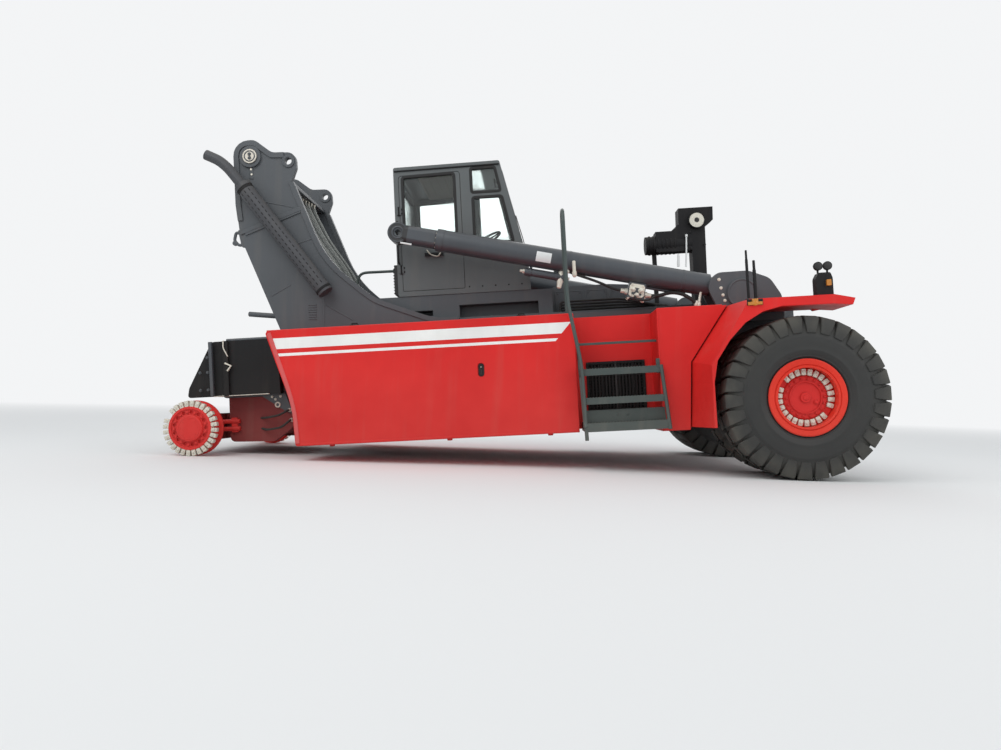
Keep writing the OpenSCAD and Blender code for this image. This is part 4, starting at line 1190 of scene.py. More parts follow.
# Port block's face: along and below its centre
PORT_BLOCK = [
    (-0.085, -0.05), (-0.06, -0.075), (0.06, -0.075), (0.085, -0.05),
    (0.085, 0.05), (0.06, 0.075), (-0.06, 0.075), (-0.085, 0.05),
]


def on_cylinder(d, drop=0.0, y=CYLINDER_Y):
    """Point up the closed cylinder from its foot pin, and below its axis."""
    c, s = math.cos(CYLINDER_ANGLE), math.sin(CYLINDER_ANGLE)
    return (FOOT.x - d * c - drop * s, y, FOOT.z + d * s - drop * c)


def cylinder_axis(forward=1.0):
    """Direction from the foot pin along the closed cylinder, or back along it."""
    return Vector((-math.cos(CYLINDER_ANGLE), 0, math.sin(CYLINDER_ANGLE))) * forward


def cylinder_down():
    """Direction square to the closed cylinder, below it."""
    return Vector((-math.sin(CYLINDER_ANGLE), 0, -math.cos(CYLINDER_ANGLE)))


def add_ports(name, side):
    """Port block with its caps and bolts under one tube."""
    tube = "lift_tube_" + name
    ports = Shape(side)
    for d, drop, y, r in (
        (1.06, 0.20, 1.062, 0.036), (1.15, 0.20, 1.062, 0.032), (1.10, 0.255, 1.062, 0.03),
    ):
        base = on_cylinder(d, drop, y + 0.012)
        ports.turned(
            base, OUTWARD, [(0, r), (0.014, r), (0.015, r * 0.75), (0.045, r * 0.75), (0.047, r * 0.5)], 6,
        )
        ports.turned(base, OUTWARD, [(0.04, r * 0.55), (0.062, r * 0.5), (0.065, r * 0.3)], 14)
    rows = []
    for y, g in ((1.055, 1.0), (1.072, 1.0), (1.076, 0.94)):
        rows.append([on_cylinder(1.105 + d * g, 0.205 + h * g, y) for d, h in PORT_BLOCK])
    ports.skin(rows)
    for d, drop in ((1.045, 0.145), (1.165, 0.145), (1.045, 0.265), (1.165, 0.265)):
        ports.bolt(on_cylinder(d, drop, 1.076), OUTWARD, 0.009, 0.009)
    for d in (1.025, 1.185):
        for y in (0.955, 1.045):
            ports.bolt(on_cylinder(d, 0.292, y), cylinder_down(), 0.012, 0.014)
    ports.turned(
        on_cylinder(1.215, 0.22, 1.0), cylinder_axis(),
        [(-0.02, 0.034), (0.012, 0.034), (0.014, 0.026), (0.06, 0.026), (0.064, 0.018)], 12,
    )
    ports.turned(
        on_cylinder(0.995, 0.225, 1.0), cylinder_axis(-1),
        [(-0.02, 0.036), (0.014, 0.036), (0.016, 0.027), (0.06, 0.025), (0.064, 0.018)], 12,
    )
    ports.turned(
        on_cylinder(1.02, 0.27, 1.02), cylinder_down(),
        [(-0.01, 0.028), (0.012, 0.028), (0.02, 0.018), (0.045, 0.018), (0.05, 0.01)], 12,
    )
    ports.make("port_fittings_" + name, tube, "Wedge steel", smooth=30)


def add_cylinder_hoses(name, side):
    """Lines tied along one tube."""
    tube = "lift_tube_" + name
    lines = Shape(side)
    low = bend_route([
        on_cylinder(0.935, 0.225), on_cylinder(0.85, 0.21), on_cylinder(0.72, 0.145),
        on_cylinder(0.60, 0.150, 1.05), on_cylinder(0.475, 0.20, 1.06), on_cylinder(0.43, 0.235, 1.06),
    ], 0.09)
    lines.tube(low, 0.021, 14)
    rear = bend_route([
        on_cylinder(1.27, 0.22), on_cylinder(1.36, 0.215), on_cylinder(1.55, 0.17, 1.03),
        on_cylinder(1.80, 0.135, 1.05), on_cylinder(1.92, 0.115, 1.06),
    ], 0.12)
    lines.tube(rear, 0.015, 12)
    lines.pipe([
        on_cylinder(1.12, 0.27, 1.10), on_cylinder(1.10, 0.31, 1.12), on_cylinder(0.98, 0.30, 1.12),
        on_cylinder(0.90, 0.24, 1.08),
    ], 0.05, 0.013, 10)
    lines.make("cylinder_hoses_" + name, tube, "Black rubber", smooth=40)


def add_blank_plate(ends):
    """Blank plate on the side of the tube."""
    ends.slot = 1
    centre = Vector(on_cylinder(2.19, 0.014, 1.1215))
    along, down = cylinder_axis(), cylinder_down()
    face = [(-0.055 + 0.01 * k, 0.0) for k in range(12)]
    back = [(0.055 - 0.01 * k, -0.004) for k in range(12)]
    rows = []
    for u in (-0.085, 0.085):
        row = []
        for v, dy in face + back:
            # the plate follows the round tube
            out = math.sqrt(0.1262 ** 2 - (v + 0.014) ** 2) - 0.1215 + dy
            row.append(tuple(centre + along * u + down * v + Vector((0, out, 0))))
        rows.append(row)
    ends.skin(rows)


def add_pilot_barrel(ends):
    """Small barrel on brackets under the tube."""
    drop, y = 0.185, 0.99
    ends.slot = 2
    ends.turned(
        on_cylinder(1.92, drop, y), cylinder_axis(),
        [(0, 0.03), (0.006, 0.042), (0.02, 0.045), (0.44, 0.045), (0.455, 0.042), (0.46, 0.03)], 28,
    )
    for d in (2.0, 2.3):
        ends.turned(
            on_cylinder(d, drop, y), cylinder_axis(),
            [(0, 0.044), (0.001, 0.05), (0.028, 0.05), (0.029, 0.044)], 28,
        )
        ends.tube([on_cylinder(d + 0.014, 0.115, y), on_cylinder(d + 0.014, 0.145, y)], 0.016, 8)
    ends.slot = 0
    for d, way in ((1.92, -1), (2.38, 1)):
        ends.turned(
            on_cylinder(d, drop, y), cylinder_axis(way),
            [(-0.004, 0.026), (0.02, 0.026), (0.024, 0.017), (0.05, 0.017), (0.055, 0.01)], 6,
        )


def add_straps(ends):
    """Straps that hold the lines to the tube."""
    ends.slot = 2
    for d in (1.90, 0.62):
        ends.turned(
            on_cylinder(d - 0.012), cylinder_axis(),
            [(0, 0.1235), (0.001, 0.1265), (0.023, 0.1265), (0.024, 0.1235)], 48,
        )


def add_gland_bolts(ends):
    """Ring of bolts on the gland's face."""
    ends.slot = 0
    for k in range(12):
        a = 2 * math.pi * k / 12
        out = math.cos(a) * Vector(OUTWARD) + math.sin(a) * cylinder_down()
        ends.bolt(Vector(on_cylinder(GLAND_END - 0.003)) + 0.113 * out, cylinder_axis(), 0.006, 0.006)


def add_cylinder_fittings(name, side):
    """Line ends, blank plate, pilot barrel, straps and gland bolts of one tube."""
    tube = "lift_tube_" + name
    ends = Shape(side)
    ends.turned(
        on_cylinder(0.43, 0.235, 1.06), cylinder_down(),
        [(-0.03, 0.024), (-0.001, 0.026), (0.02, 0.026), (0.03, 0.02), (0.034, 0.01)], 12,
    )
    ends.turned(
        on_cylinder(0.405, 0.10, 1.06), cylinder_down(),
        [(0, 0.016), (0.11, 0.016), (0.13, 0.026), (0.16, 0.026), (0.165, 0.012)], 12,
    )
    ends.turned(on_cylinder(1.90, 0.105, 1.055), (0, 0.2, -1), [(0, 0.02), (0.03, 0.02), (0.034, 0.01)], 12)
    ends.turned(
        on_cylinder(1.855, 0.0, 1.128), DOWN,
        [(0, 0.012), (0.01, 0.02), (0.12, 0.02), (0.125, 0.027), (0.165, 0.027), (0.185, 0.014)], 12,
    )
    ends.turned(
        on_cylinder(1.965, 0.115, 0.998), cylinder_down(),
        [(0, 0.03), (0.02, 0.036), (0.12, 0.036), (0.15, 0.03), (0.19, 0.026), (0.2, 0.014)], 8,
    )
    add_blank_plate(ends)
    add_pilot_barrel(ends)
    add_straps(ends)
    add_gland_bolts(ends)
    ends.make(
        "cylinder_fittings_" + name, tube, ["Wedge steel", "White plate", "Tube grey"], smooth=35,
    )


def add_eye_rings(name, side):
    """Rings, bush, grease nipple and plate at one rod eye."""
    eye = Shape(side)
    centre = Vector(on_cylinder(EYE))
    for y, way in ((1.075, OUTWARD), (0.925, INWARD)):
        for r, width, height in ((0.107, 0.012, 0.005), (0.064, 0.016, 0.006)):
            eye.trim(circle(centre.x, y, centre.z, r), way, width, -0.003, height)
    nipple = Vector(on_cylinder(EYE)) + cylinder_down() * -0.117
    eye.turned(
        nipple, cylinder_down() * -1,
        [(-0.006, 0.009), (0.008, 0.009), (0.012, 0.005), (0.02, 0.005), (0.022, 0.002)], 8,
    )
    eye.lathe([
        (0.0496, 0.930), (0.0496, 1.070), (0.046, 1.072), (0.036, 1.068), (0.034, 1.0), (0.036, 0.932),
        (0.046, 0.928),
    ], centre.x, centre.z, 40)
    eye.slot = 1
    eye.strip([
        on_cylinder(3.82, 0.116, 1.07), on_cylinder(3.69, 0.116, 1.07),
    ], cylinder_down(), 0.012, -0.014, 0.004)
    eye.make(
        "rod_eye_rings_" + name, "lift_rod_" + name, ["Tube grey", "White plate"], smooth=50,
    )


class STACKER_OT_cylinders(Build):
    """Builds the lift cylinders' fittings: port blocks, hoses, pilot barrel, gland bolts and eye rings"""

    bl_idname = "stacker.cylinders"
    bl_label = "Lift cylinder fittings"

    def build(self, scene):
        for name, side in SIDES.items():
            add_ports(name, side)
            add_cylinder_hoses(name, side)
            add_cylinder_fittings(name, side)
            add_eye_rings(name, side)


def add_right_hoses(hoses):
    """Nine hoses at the right tower, with their end fittings."""
    for k in range(9):
        y, s = -0.652 + 0.034 * k, 0.0085 * k
        route = bend_route([
            (-5.452 - s, y, 3.655), (-5.452 - s, y, 3.525), (-5.13 - s, y, 2.90), (-4.90 - s, y, 2.46),
            (-4.64 - s, y, 2.23), (-4.56 - s, y, 1.834),
        ], 0.16, 6)
        hoses.slot = 0 if k % 3 else 1
        hoses.tube(route, 0.0135, 10)
        hoses.slot = 2
        hoses.turned(
            (-5.452 - s, y, 3.655), DOWN,
            [(-0.001, 0.017), (0.02, 0.017), (0.022, 0.015), (0.06, 0.0145), (0.062, 0.0138)], 10,
        )
        hoses.turned(
            (-4.56 - s, y, 1.83), (0.2, 0, -0.98), [(-0.05, 0.0138), (-0.045, 0.016), (0.0, 0.016)], 10,
        )


def add_middle_hoses(hoses):
    """Seven hoses between the towers, with their end fittings."""
    for k in range(7):
        y, s = -0.205 + 0.085 * k, 0.012 * (6 - k)
        route = bend_route([
            (-5.435 - s, y, 3.656), (-5.43 - s, y, 3.56), (-5.23 - s, y, 3.13), (-4.965 - s, y, 2.73),
            (-4.85 - s, y, 2.46), (-4.85 - s, y, 1.815),
        ], 0.16, 6)
        hoses.slot = 1 if k % 3 == 2 else 0
        hoses.tube(route, 0.0145, 10)
        hoses.slot = 2
        hoses.turned(
            (-5.435 - s, y, 3.655), DOWN,
            [(-0.001, 0.019), (0.02, 0.019), (0.022, 0.016), (0.06, 0.0155), (0.062, 0.0148)], 10,
        )
        hoses.turned(
            (-4.85 - s, y, 1.82), UP,
            [(-0.001, 0.019), (0.02, 0.019), (0.022, 0.016), (0.06, 0.0155), (0.062, 0.0148)], 10,
        )


def add_hose_ties(hoses):
    """Ties round the right bundle."""
    hoses.slot = 3
    for x, z, dx, dz in (
        (-5.325, 3.25, -0.46, 0.888), (-5.045, 2.69, -0.46, 0.888), (-4.60, 2.02, -0.2, 0.98),
    ):
        across = Vector((dz, 0, -dx))
        for lift in (-0.030, 0.052):
            ends = [Vector((x - s, y, z)) + across * lift for y, s in ((-0.675, 0.0), (-0.36, 0.07))]
            hoses.tube([tuple(p) for p in ends], 0.008, 8)


class STACKER_OT_hoses(Build):
    """Builds the hoses that come down from the shelf between the towers"""

    bl_idname = "stacker.hoses"
    bl_label = "Tower hoses"

    def build(self, scene):
        hoses = Shape(1)
        add_right_hoses(hoses)
        add_middle_hoses(hoses)
        add_hose_ties(hoses)
        hoses.make(
            "tower_hoses", "carrier", ["Hose sleeve", "Hose sleeve dark", "Bare steel", "Black plastic"],
            smooth=40, replaces=("hoses",),
        )


def add_frame_bolts(name, side):
    """Bare bolts on the ear and the tower."""
    bright = Shape(side)
    bright.bolts([(-0.569, 2.136), (-0.553, 2.042), (-0.536, 1.964), (-0.519, 1.902)], 1.178, 0.012, 0.012)
    bright.bolts([(-5.848, 3.813), (-5.843, 3.752)], PLATE_Y, 0.013, 0.011)
    bright.make("frame_bolts_" + name, "carrier", "Wedge steel", smooth=30)


# Weld seams on the towers: x and z along each
TOWER_SEAMS = [
    [(-5.70, 3.418), (-5.56, 3.384), (-5.37, 3.332)],
    [(-5.33, 2.90), (-5.14, 2.955)],
    [(-5.67, 2.30), (-5.44, 2.415)],
    [(-5.03, 2.16), (-4.72, 1.965)],
]


def add_frame_details(name, side):
    """Rings, pads, weld seams, hook and bar in the frame colour."""
    pin_end = reach_of("pivot_pins")
    dark = Shape(side)
    dark.trim(circle(-0.33, 1.202, 1.967, 0.153), OUTWARD, 0.016, -0.003, 0.006)
    dark.strip([(-5.842, PLATE_Y, 3.885), (-5.85, PLATE_Y, 3.70)], OUTWARD, 0.05, -0.002, 0.006)
    dark.trim(circle(BOOM_PIN_X, pin_end, BOOM_PIN_Z, 0.060), OUTWARD, 0.014, -0.002, 0.003)
    dark.bolts([(BOOM_PIN_X, BOOM_PIN_Z + 0.022), (BOOM_PIN_X, BOOM_PIN_Z - 0.022)], pin_end, 0.014, 0.009)
    dark.trim(circle(BOOM_PIN_X, PLATE_Y + 0.018, BOOM_PIN_Z, 0.098), OUTWARD, 0.012, -0.022, 0.003)
    # pad that carries the exhaust, then weld seams of the joined plates
    pad = [(-5.945, 3.03), (-5.955, 3.09), (-5.29, 3.325), (-5.275, 3.265)]
    dark.plate(pad, PLATE_Y - 0.002, PLATE_Y + 0.012, 0.01)
    for route in TOWER_SEAMS:
        dark.strip([(x, PLATE_Y, z) for x, z in route], OUTWARD, 0.014, -0.002, 0.004)
    dark.strip([(-5.045, PLATE_Y, 2.38), (-5.07, PLATE_Y, 1.83)], OUTWARD, 0.03, -0.002, 0.004)
    for k in range(7):
        z = 2.17 - 0.028 * k
        dark.strip([(-5.235, PLATE_Y, z), (-5.14, PLATE_Y, z - 0.004)], OUTWARD, 0.012, -0.002, 0.006)
    # hook at the tower's rear edge
    dark.plate([(-6.0, 2.90), (-6.04, 3.10), (-5.97, 3.12), (-5.93, 2.90)], 0.765, 0.812, 0.01)
    dark.pipe([
        (-6.0, 0.79, 3.06), (-6.07, 0.79, 3.085), (-6.095, 0.79, 2.985), (-6.04, 0.79, 2.925),
        (-5.985, 0.79, 2.935),
    ], 0.03, 0.018, 10)
    dark.turned((-6.085, 0.775, 2.955), OUTWARD, [(0, 0.02), (0.002, 0.03), (0.03, 0.03), (0.032, 0.02)], 14)
    # short bar behind the tower
    dark.turned((-5.66, 0.728, 2.075), (-0.352, 0, 0.045), [(0, 0.03), (0.315, 0.03), (0.322, 0.024)], 20)
    for x in (-3.9, -3.5, -3.1, -2.7, -1.2, -0.9):
        dark.bolt((x, 0.74, DECK_TOP), UP, 0.012, 0.01)
    dark.trim(circle(-5.405, 0.83, 3.884, 0.058), OUTWARD, 0.012, -0.012, 0.003)
    dark.make("frame_details_" + name, "carrier", "Frame grey", smooth=50)


def add_exhaust_bands():
    """Bands of the exhaust's guard, and its slots as thin black strips of painted shade."""
    exhaust = Shape(-1)
    y = 0.934
    end, start = Vector((-5.905, y, 3.577)), Vector((-4.99, y, 2.288))
    way = (end - start).normalized()
    length = (end - start).length
    for d in (0.03, length - 0.06):
        exhaust.turned(start + way * d, way, [(0, 0.091), (0.001, 0.096), (0.03, 0.096), (0.031, 0.091)], 40)
    # rows of slots in the guard, drawn as raised black strips: painted shade for the openings
    side = Vector(OUTWARD)
    lower = way.cross(side).normalized()
    if lower.z > 0:
        lower = -lower
    for k in range(22):
        along = 0.10 + 0.065 * k
        if along > length - 0.1:
            continue
        for a in (-0.5, 0.1, 0.7):
            out = math.cos(a) * side + math.sin(a) * lower
            p = start + way * along + out * 0.0915
            exhaust.strip([tuple(p), tuple(p + way * 0.035)], out, 0.010, -0.002, 0.0012)
    exhaust.make("exhaust_bands", "carrier", "Black paint", smooth=50)


class STACKER_OT_frame_parts(Build):
    """Builds the bolts, rings, weld seams and hooks of the frame plates, and the exhaust's bands"""

    bl_idname = "stacker.frame_parts"
    bl_label = "Frame fittings"

    def build(self, scene):
        for name, side in SIDES.items():
            add_frame_bolts(name, side)
            add_frame_details(name, side)
        add_exhaust_bands()


def add_tank_edge(name, side):
    """Rolled rear edge of one tank, in a lighter red that is a painted highlight where its rounded edge
    catches the sky.
    """
    tank_y = reach_of("tanks")
    edge = Shape(side)
    route = bend_route([(-5.455, tank_y, 1.785), (-5.212, tank_y, 1.0), (-5.190, tank_y, 0.59)], 0.3)
    edge.strip([tuple(p) for p in route], OUTWARD, 0.045, -0.004, 0.010)
    edge.make("tank_edge_" + name, "carrier", "Edge red", bevel=0.004, smooth=60)


def add_tank_latch(name, side):
    """Lever and lock in the tank's recess."""
    tank_y = reach_of("tanks")
    latch = Shape(side)
    x, z = -3.2, 1.27
    ring = [(x - 0.03, z - 0.068), (x - 0.03, z + 0.068), (x + 0.03, z + 0.068), (x + 0.03, z - 0.068)]
    latch.plate(ring, tank_y - 0.031, tank_y - 0.026, 0.03)
    latch.turned((x, tank_y - 0.027, z + 0.03), OUTWARD, [(0, 0.013), (0.012, 0.012), (0.016, 0.009)], 18)
    latch.strip([
        (x, tank_y - 0.027, z + 0.012), (x, tank_y - 0.027, z - 0.05),
    ], OUTWARD, 0.02, -0.001, 0.014)
    latch.slot = 1
    latch.turned((x, tank_y - 0.014, z + 0.03), OUTWARD, [(0, 0.007), (0.004, 0.006), (0.005, 0.003)], 12)
    latch.make("tank_latch_" + name, "carrier", ["Black plastic", "Bare steel"], smooth=40)


def add_body_trim(name, side):
    """Hems, drain plugs and fender bracket."""
    tank_y = reach_of("tanks")
    trim = Shape(side)
    # hems along the tank's top and lower edge, and drain plugs underneath
    y, z = tank_y - 0.014, TANK_TOP + 0.001
    trim.tube([(-5.478, y, z), (-2.205, y, z)], 0.011, 10)
    trim.strip([(-5.18, tank_y, 0.578), (-2.21, tank_y, 0.578)], OUTWARD, 0.026, -0.003, 0.004)
    trim.tube([(-1.335, 1.588, z), (-0.66, 1.588, z)], 0.010, 10)
    trim.strip([(-1.33, 1.6, 1.79), (-1.33, 1.6, 0.56)], OUTWARD, 0.018, -0.002, 0.004)
    for px, pz in ((-4.9, 0.562), (-3.6, 0.562), (-2.5, 0.562)):
        trim.turned(
            (px, tank_y - 0.3, pz), DOWN,
            [(-0.004, 0.05), (0.008, 0.05), (0.009, 0.03), (0.03, 0.028), (0.032, 0.01)], 20,
        )
    # bracket under the fender's front
    trim.plate([(0.20, 1.75), (0.259, 1.69), (0.49, 1.725), (0.47, 1.752)], 1.585, 1.605, 0.006)
    trim.make("body_trim_" + name, "carrier", "Body red", smooth=45)


def add_tank_top(name, side):
    """Filler caps and grip bars on one tank's top."""
    caps = Shape(side)
    y = 1.25
    for px in (-4.6, -2.75):
        caps.turned(
            (px, y, TANK_TOP - 0.001), UP,
            [(-0.004, 0.09), (0.012, 0.09), (0.013, 0.062), (0.045, 0.062), (0.056, 0.05), (0.058, 0.02)],
            30,
        )
        for k in range(6):
            a = math.pi * k / 3
            caps.bolt((px + 0.077 * math.cos(a), y + 0.077 * math.sin(a), 1.816), UP, 0.007, 0.006)
        caps.pipe([
            (px - 0.03, y, 1.86), (px - 0.03, y, 1.875), (px + 0.03, y, 1.875), (px + 0.03, y, 1.86),
        ], 0.01, 0.006, 8)
    for i in range(22):
        for j in range(3):
            u = -5.2 + 0.135 * i
            bar = [(u, 0.98 + 0.14 * j, TANK_TOP), (u + 0.05, 1.02 + 0.14 * j, TANK_TOP)]
            caps.strip(bar, UP, 0.012, -0.002, 0.003)
    caps.make("tank_top_" + name, "carrier", "Black paint", smooth=40)


class STACKER_OT_body_parts(Build):
    """Builds the tanks' edges, latches, caps and grip bars, the hems and the fenders' brackets"""

    bl_idname = "stacker.body_parts"
    bl_label = "Body fittings"

    def build(self, scene):
        for name, side in SIDES.items():
            add_tank_edge(name, side)
            add_tank_latch(name, side)
            add_body_trim(name, side)
            add_tank_top(name, side)


# Treads: rear and front end, top, inner and outer edge
TREADS = [
    (-2.17, -1.345, 1.217, 1.57, 1.65),
    (-2.155, -1.325, 0.917, 1.62, 1.70),
    (-2.145, -1.30, 0.657, 1.62, 1.75),
]
STEP_BOLTS = [
    (-2.16, 1.66, 1.18), (-1.36, 1.66, 1.18), (-2.145, 1.71, 0.88),
    (-1.33, 1.71, 0.88), (-2.13, 1.76, 0.61), (-1.31, 1.76, 0.61),
]


def add_step_grips(name, side):
    """Grip bars, bolts, toe plate and handrail foot."""
    steps = Shape(side)
    for x0, x1, z, y0, y1 in TREADS:
        for k in range(27):
            x = x0 + 0.015 + (x1 - x0 - 0.03) * k / 26
            steps.strip([(x, y0, z - 0.002), (x, y1, z - 0.002)], UP, 0.008, -0.002, 0.005)
    for x, y, z in STEP_BOLTS:
        for dz in (-0.016, 0.016):
            steps.bolt((x, y, z + dz), OUTWARD, 0.007, 0.006)
    # toe plate on the lowest step
    steps.plate([(-2.135, 0.652), (-2.145, 0.785), (-1.315, 0.785), (-1.305, 0.652)], 1.622, 1.63, 0.003)
    for x in (-1.80, -1.70):
        steps.bolt((x, 1.63, 0.73), OUTWARD, 0.010, 0.007)
    # foot of the handrail and the pad at the bay's edge
    steps.turned(
        (-2.256, 1.36, 1.803), UP, [(-0.002, 0.045), (0.009, 0.045), (0.010, 0.024), (0.03, 0.022)], 20,
    )
    steps.plate([(-1.375, 1.14), (-1.375, 1.29), (-1.335, 1.29), (-1.335, 1.14)], 1.598, 1.612, 0.006)
    steps.make("step_grips_" + name, "carrier", "Ladder grey", smooth=40)


def add_grille_mesh(name, side):
    """Wire mesh and bolts of one grille."""
    mesh = Shape(side)
    for k in range(18):
        z = 0.715 + 0.033 * k
        mesh.tube([(-2.045, 1.171, z), (-1.455, 1.171, z)], 0.0035, 6)
    for k in range(20):
        x = -2.03 + 0.03 * k
        mesh.tube([(x, 1.176, 0.70), (x, 1.176, 1.285)], 0.003, 6)
    for x in (-2.057, -1.75, -1.443):
        for z in (0.693, 0.99, 1.292):
            if x != -1.75 or z != 0.99:
                mesh.bolt((x, 1.189, z), OUTWARD, 0.007, 0.006)
    mesh.strip([(-1.75, 1.184, 0.70), (-1.75, 1.184, 1.285)], OUTWARD, 0.022, -0.006, 0.003)
    mesh.make("grille_mesh_" + name, "carrier", "Black plastic", smooth=60)


class STACKER_OT_steps(Build):
    """Builds the steps' grip bars, bolts and toe plate, and the mesh of the grilles"""

    bl_idname = "stacker.steps"
    bl_label = "Step and grille fittings"

    def build(self, scene):
        for name, side in SIDES.items():
            add_step_grips(name, side)
            add_grille_mesh(name, side)


def add_drive_hub_bolts(name, side):
    """Bolts, ring and plugs on one drive hub's cover."""
    outer = reach_of("drive_hub_" + name)
    hub = Shape(side)
    for k in range(18):
        a = 2 * math.pi * k / 18
        x, z = 0.186 * math.cos(a), TYRE_R + 0.186 * math.sin(a)
        hub.bolt((x, outer - 0.002, z), OUTWARD, 0.0085, 0.008)
    hub.trim(circle(0, outer - 0.001, TYRE_R, 0.155), OUTWARD, 0.012, -0.004, 0.004)
    hub.turned(
        (0, outer - 0.003, TYRE_R), OUTWARD,
        [(0, 0.052), (0.008, 0.05), (0.009, 0.028), (0.016, 0.026), (0.017, 0.01)], 30,
    )
    hub.bolt((0.1, outer - 0.003, TYRE_R - 0.05), OUTWARD, 0.016, 0.012)
    hub.make("drive_hub_bolts_" + name, "drive_wheel_" + name, "Body red", smooth=40)


def add_rim_fittings(name, side):
    """Lock ring and valve of one drive rim."""
    rim = Shape(side)
    face = reach_of("drive_rims_" + name)
    rim.trim(circle(0, face - 0.012, TYRE_R, 0.350, 90), OUTWARD, 0.012, -0.012, 0.004)
    rim.pipe([
        (0.300, face - 0.085, TYRE_R), (0.300, face - 0.035, TYRE_R), (0.325, face - 0.025, TYRE_R),
    ], 0.015, 0.006, 8)
    rim.turned((0.320, face - 0.027, TYRE_R), (1, 0, 0.35), [(0, 0.009), (0.018, 0.009), (0.02, 0.004)], 10)
    rim.make("rim_fittings_" + name, "drive_wheel_" + name, "Rim red", smooth=50)


def add_steer_hub_bolts(name, side):
    """Bolts and ring on one steer hub."""
    outer = reach_of("steer_hub_" + name)
    cap = Shape(side)
    for k in range(13):
        a = 2 * math.pi * (k + 0.5) / 13
        x, z = STEER_X + 0.178 * math.cos(a), TYRE_R + 0.178 * math.sin(a)
        cap.bolt((x, outer - 0.030, z), OUTWARD, 0.014, 0.016)
    cap.trim(circle(STEER_X, outer - 0.001, TYRE_R, 0.118), OUTWARD, 0.010, -0.004, 0.002)
    for k in range(8):
        a = 2 * math.pi * k / 8
        x, z = STEER_X + 0.095 * math.cos(a), TYRE_R + 0.095 * math.sin(a)
        cap.bolt((x, outer - 0.002, z), OUTWARD, 0.006, 0.004)
    cap.make("steer_hub_bolts_" + name, "steer_hub_" + name, "Body red", smooth=40)


class STACKER_OT_hubs(Build):
    """Builds the bolts, plugs and rings of the drive and steer hubs, and the rims' lock rings and valves"""

    bl_idname = "stacker.hubs"
    bl_label = "Hub fittings"

    def build(self, scene):
        for name, side in SIDES.items():
            add_drive_hub_bolts(name, side)
            add_rim_fittings(name, side)
            add_steer_hub_bolts(name, side)


def add_tail_ribs(name, side):
    """Rib, gusset, bolts and bar of the tail frame."""
    rib = Shape(side)
    rib.strip([(-6.315, TAIL_Y, 1.775), (-6.308, TAIL_Y, 1.16)], OUTWARD, 0.045, -0.003, 0.028)
    rib.plate([(-5.86, 1.16), (-5.545, 1.16), (-5.455, 0.90), (-5.56, 0.955)], 0.818, 0.85, 0.01)
    for x, z in ((-6.45, 1.23), (-6.36, 1.23), (-6.45, 1.43), (-6.36, 1.43), (-6.36, 1.60)):
        rib.bolt((x, TAIL_Y, z), OUTWARD, 0.012, 0.01)
    rib.tube([(-6.15, 1.0, 1.79), (-5.6, 1.0, 1.79)], 0.018, 10)
    rib.make("tail_ribs_" + name, "carrier", "Tube grey", bevel=0.003, smooth=40)


def add_tail_fittings(name, side):
    """Bare edges, cable, handle and line ends at the tail."""
    pale = Shape(side)
    pale.strip([(-6.30, 1.045, 1.153), (-5.66, 1.045, 1.153)], DOWN, 0.03, -0.003, 0.006)
    pale.pipe([
        (-6.162, 1.072, 1.785), (-6.165, 1.075, 1.70), (-6.135, 1.075, 1.64), (-6.12, 1.062, 1.60),
    ], 0.03, 0.007, 8)
    pale.strip([
        (-6.155, TAIL_Y, 1.525), (-6.085, TAIL_Y, 1.492), (-6.13, TAIL_Y, 1.435),
    ], OUTWARD, 0.022, -0.003, 0.012)
    pale.trim(circle(-5.635, 0.851, 1.025, 0.026, 24), OUTWARD, 0.018, -0.006, 0.008)
    for x, z in ((-5.70, 1.12), (-5.66, 1.09), (-5.60, 1.12)):
        pale.bolt((x, 0.85, z), OUTWARD, 0.010, 0.009)
    for x, z in ((-5.495, 0.955), (-5.478, 0.84)):
        pale.turned(
            (x, 0.80, z), OUTWARD, [(0, 0.024), (0.06, 0.024), (0.062, 0.018), (0.10, 0.018), (0.102, 0.01)],
            6,
        )
    pale.make("tail_fittings_" + name, "carrier", "Wedge steel", smooth=35)


def add_tail_hoses(name, side):
    """Two lines to the steer axle."""
    lines = Shape(side)
    lines.pipe([
        (-5.495, 0.90, 0.955), (-5.50, 0.935, 0.95), (-5.60, 0.94, 0.90), (-5.76, 0.90, 0.88),
        (-5.86, 0.80, 0.88),
    ], 0.05, 0.013, 10)
    lines.pipe([
        (-5.478, 0.90, 0.84), (-5.48, 0.935, 0.83), (-5.58, 0.93, 0.76), (-5.76, 0.88, 0.74),
        (-5.86, 0.80, 0.76),
    ], 0.05, 0.013, 10)
    lines.make("tail_hoses_" + name, "carrier", "Black rubber", smooth=50)


def add_axle_bars(name, side):
    """Twin bars on the axle's cradle."""
    axle = Shape(side)
    for z in (0.858, 0.772):
        axle.tube([(-6.33, 0.842, z), (-6.09, 0.842, z)], 0.026, 14)
    axle.plate([(-6.19, 0.73), (-6.19, 0.90), (-6.12, 0.90), (-6.12, 0.73)], 0.817, 0.85, 0.006)
    axle.make("axle_bars_" + name, "carrier", "Body red", smooth=40)


class STACKER_OT_tail(Build):
    """Builds the ribs, fittings and lines of the tail frame, and the bars at the steer axle"""

    bl_idname = "stacker.tail"
    bl_label = "Tail fittings"

    def build(self, scene):
        for name, side in SIDES.items():
            add_tail_ribs(name, side)
            add_tail_fittings(name, side)
            add_tail_hoses(name, side)
            add_axle_bars(name, side)


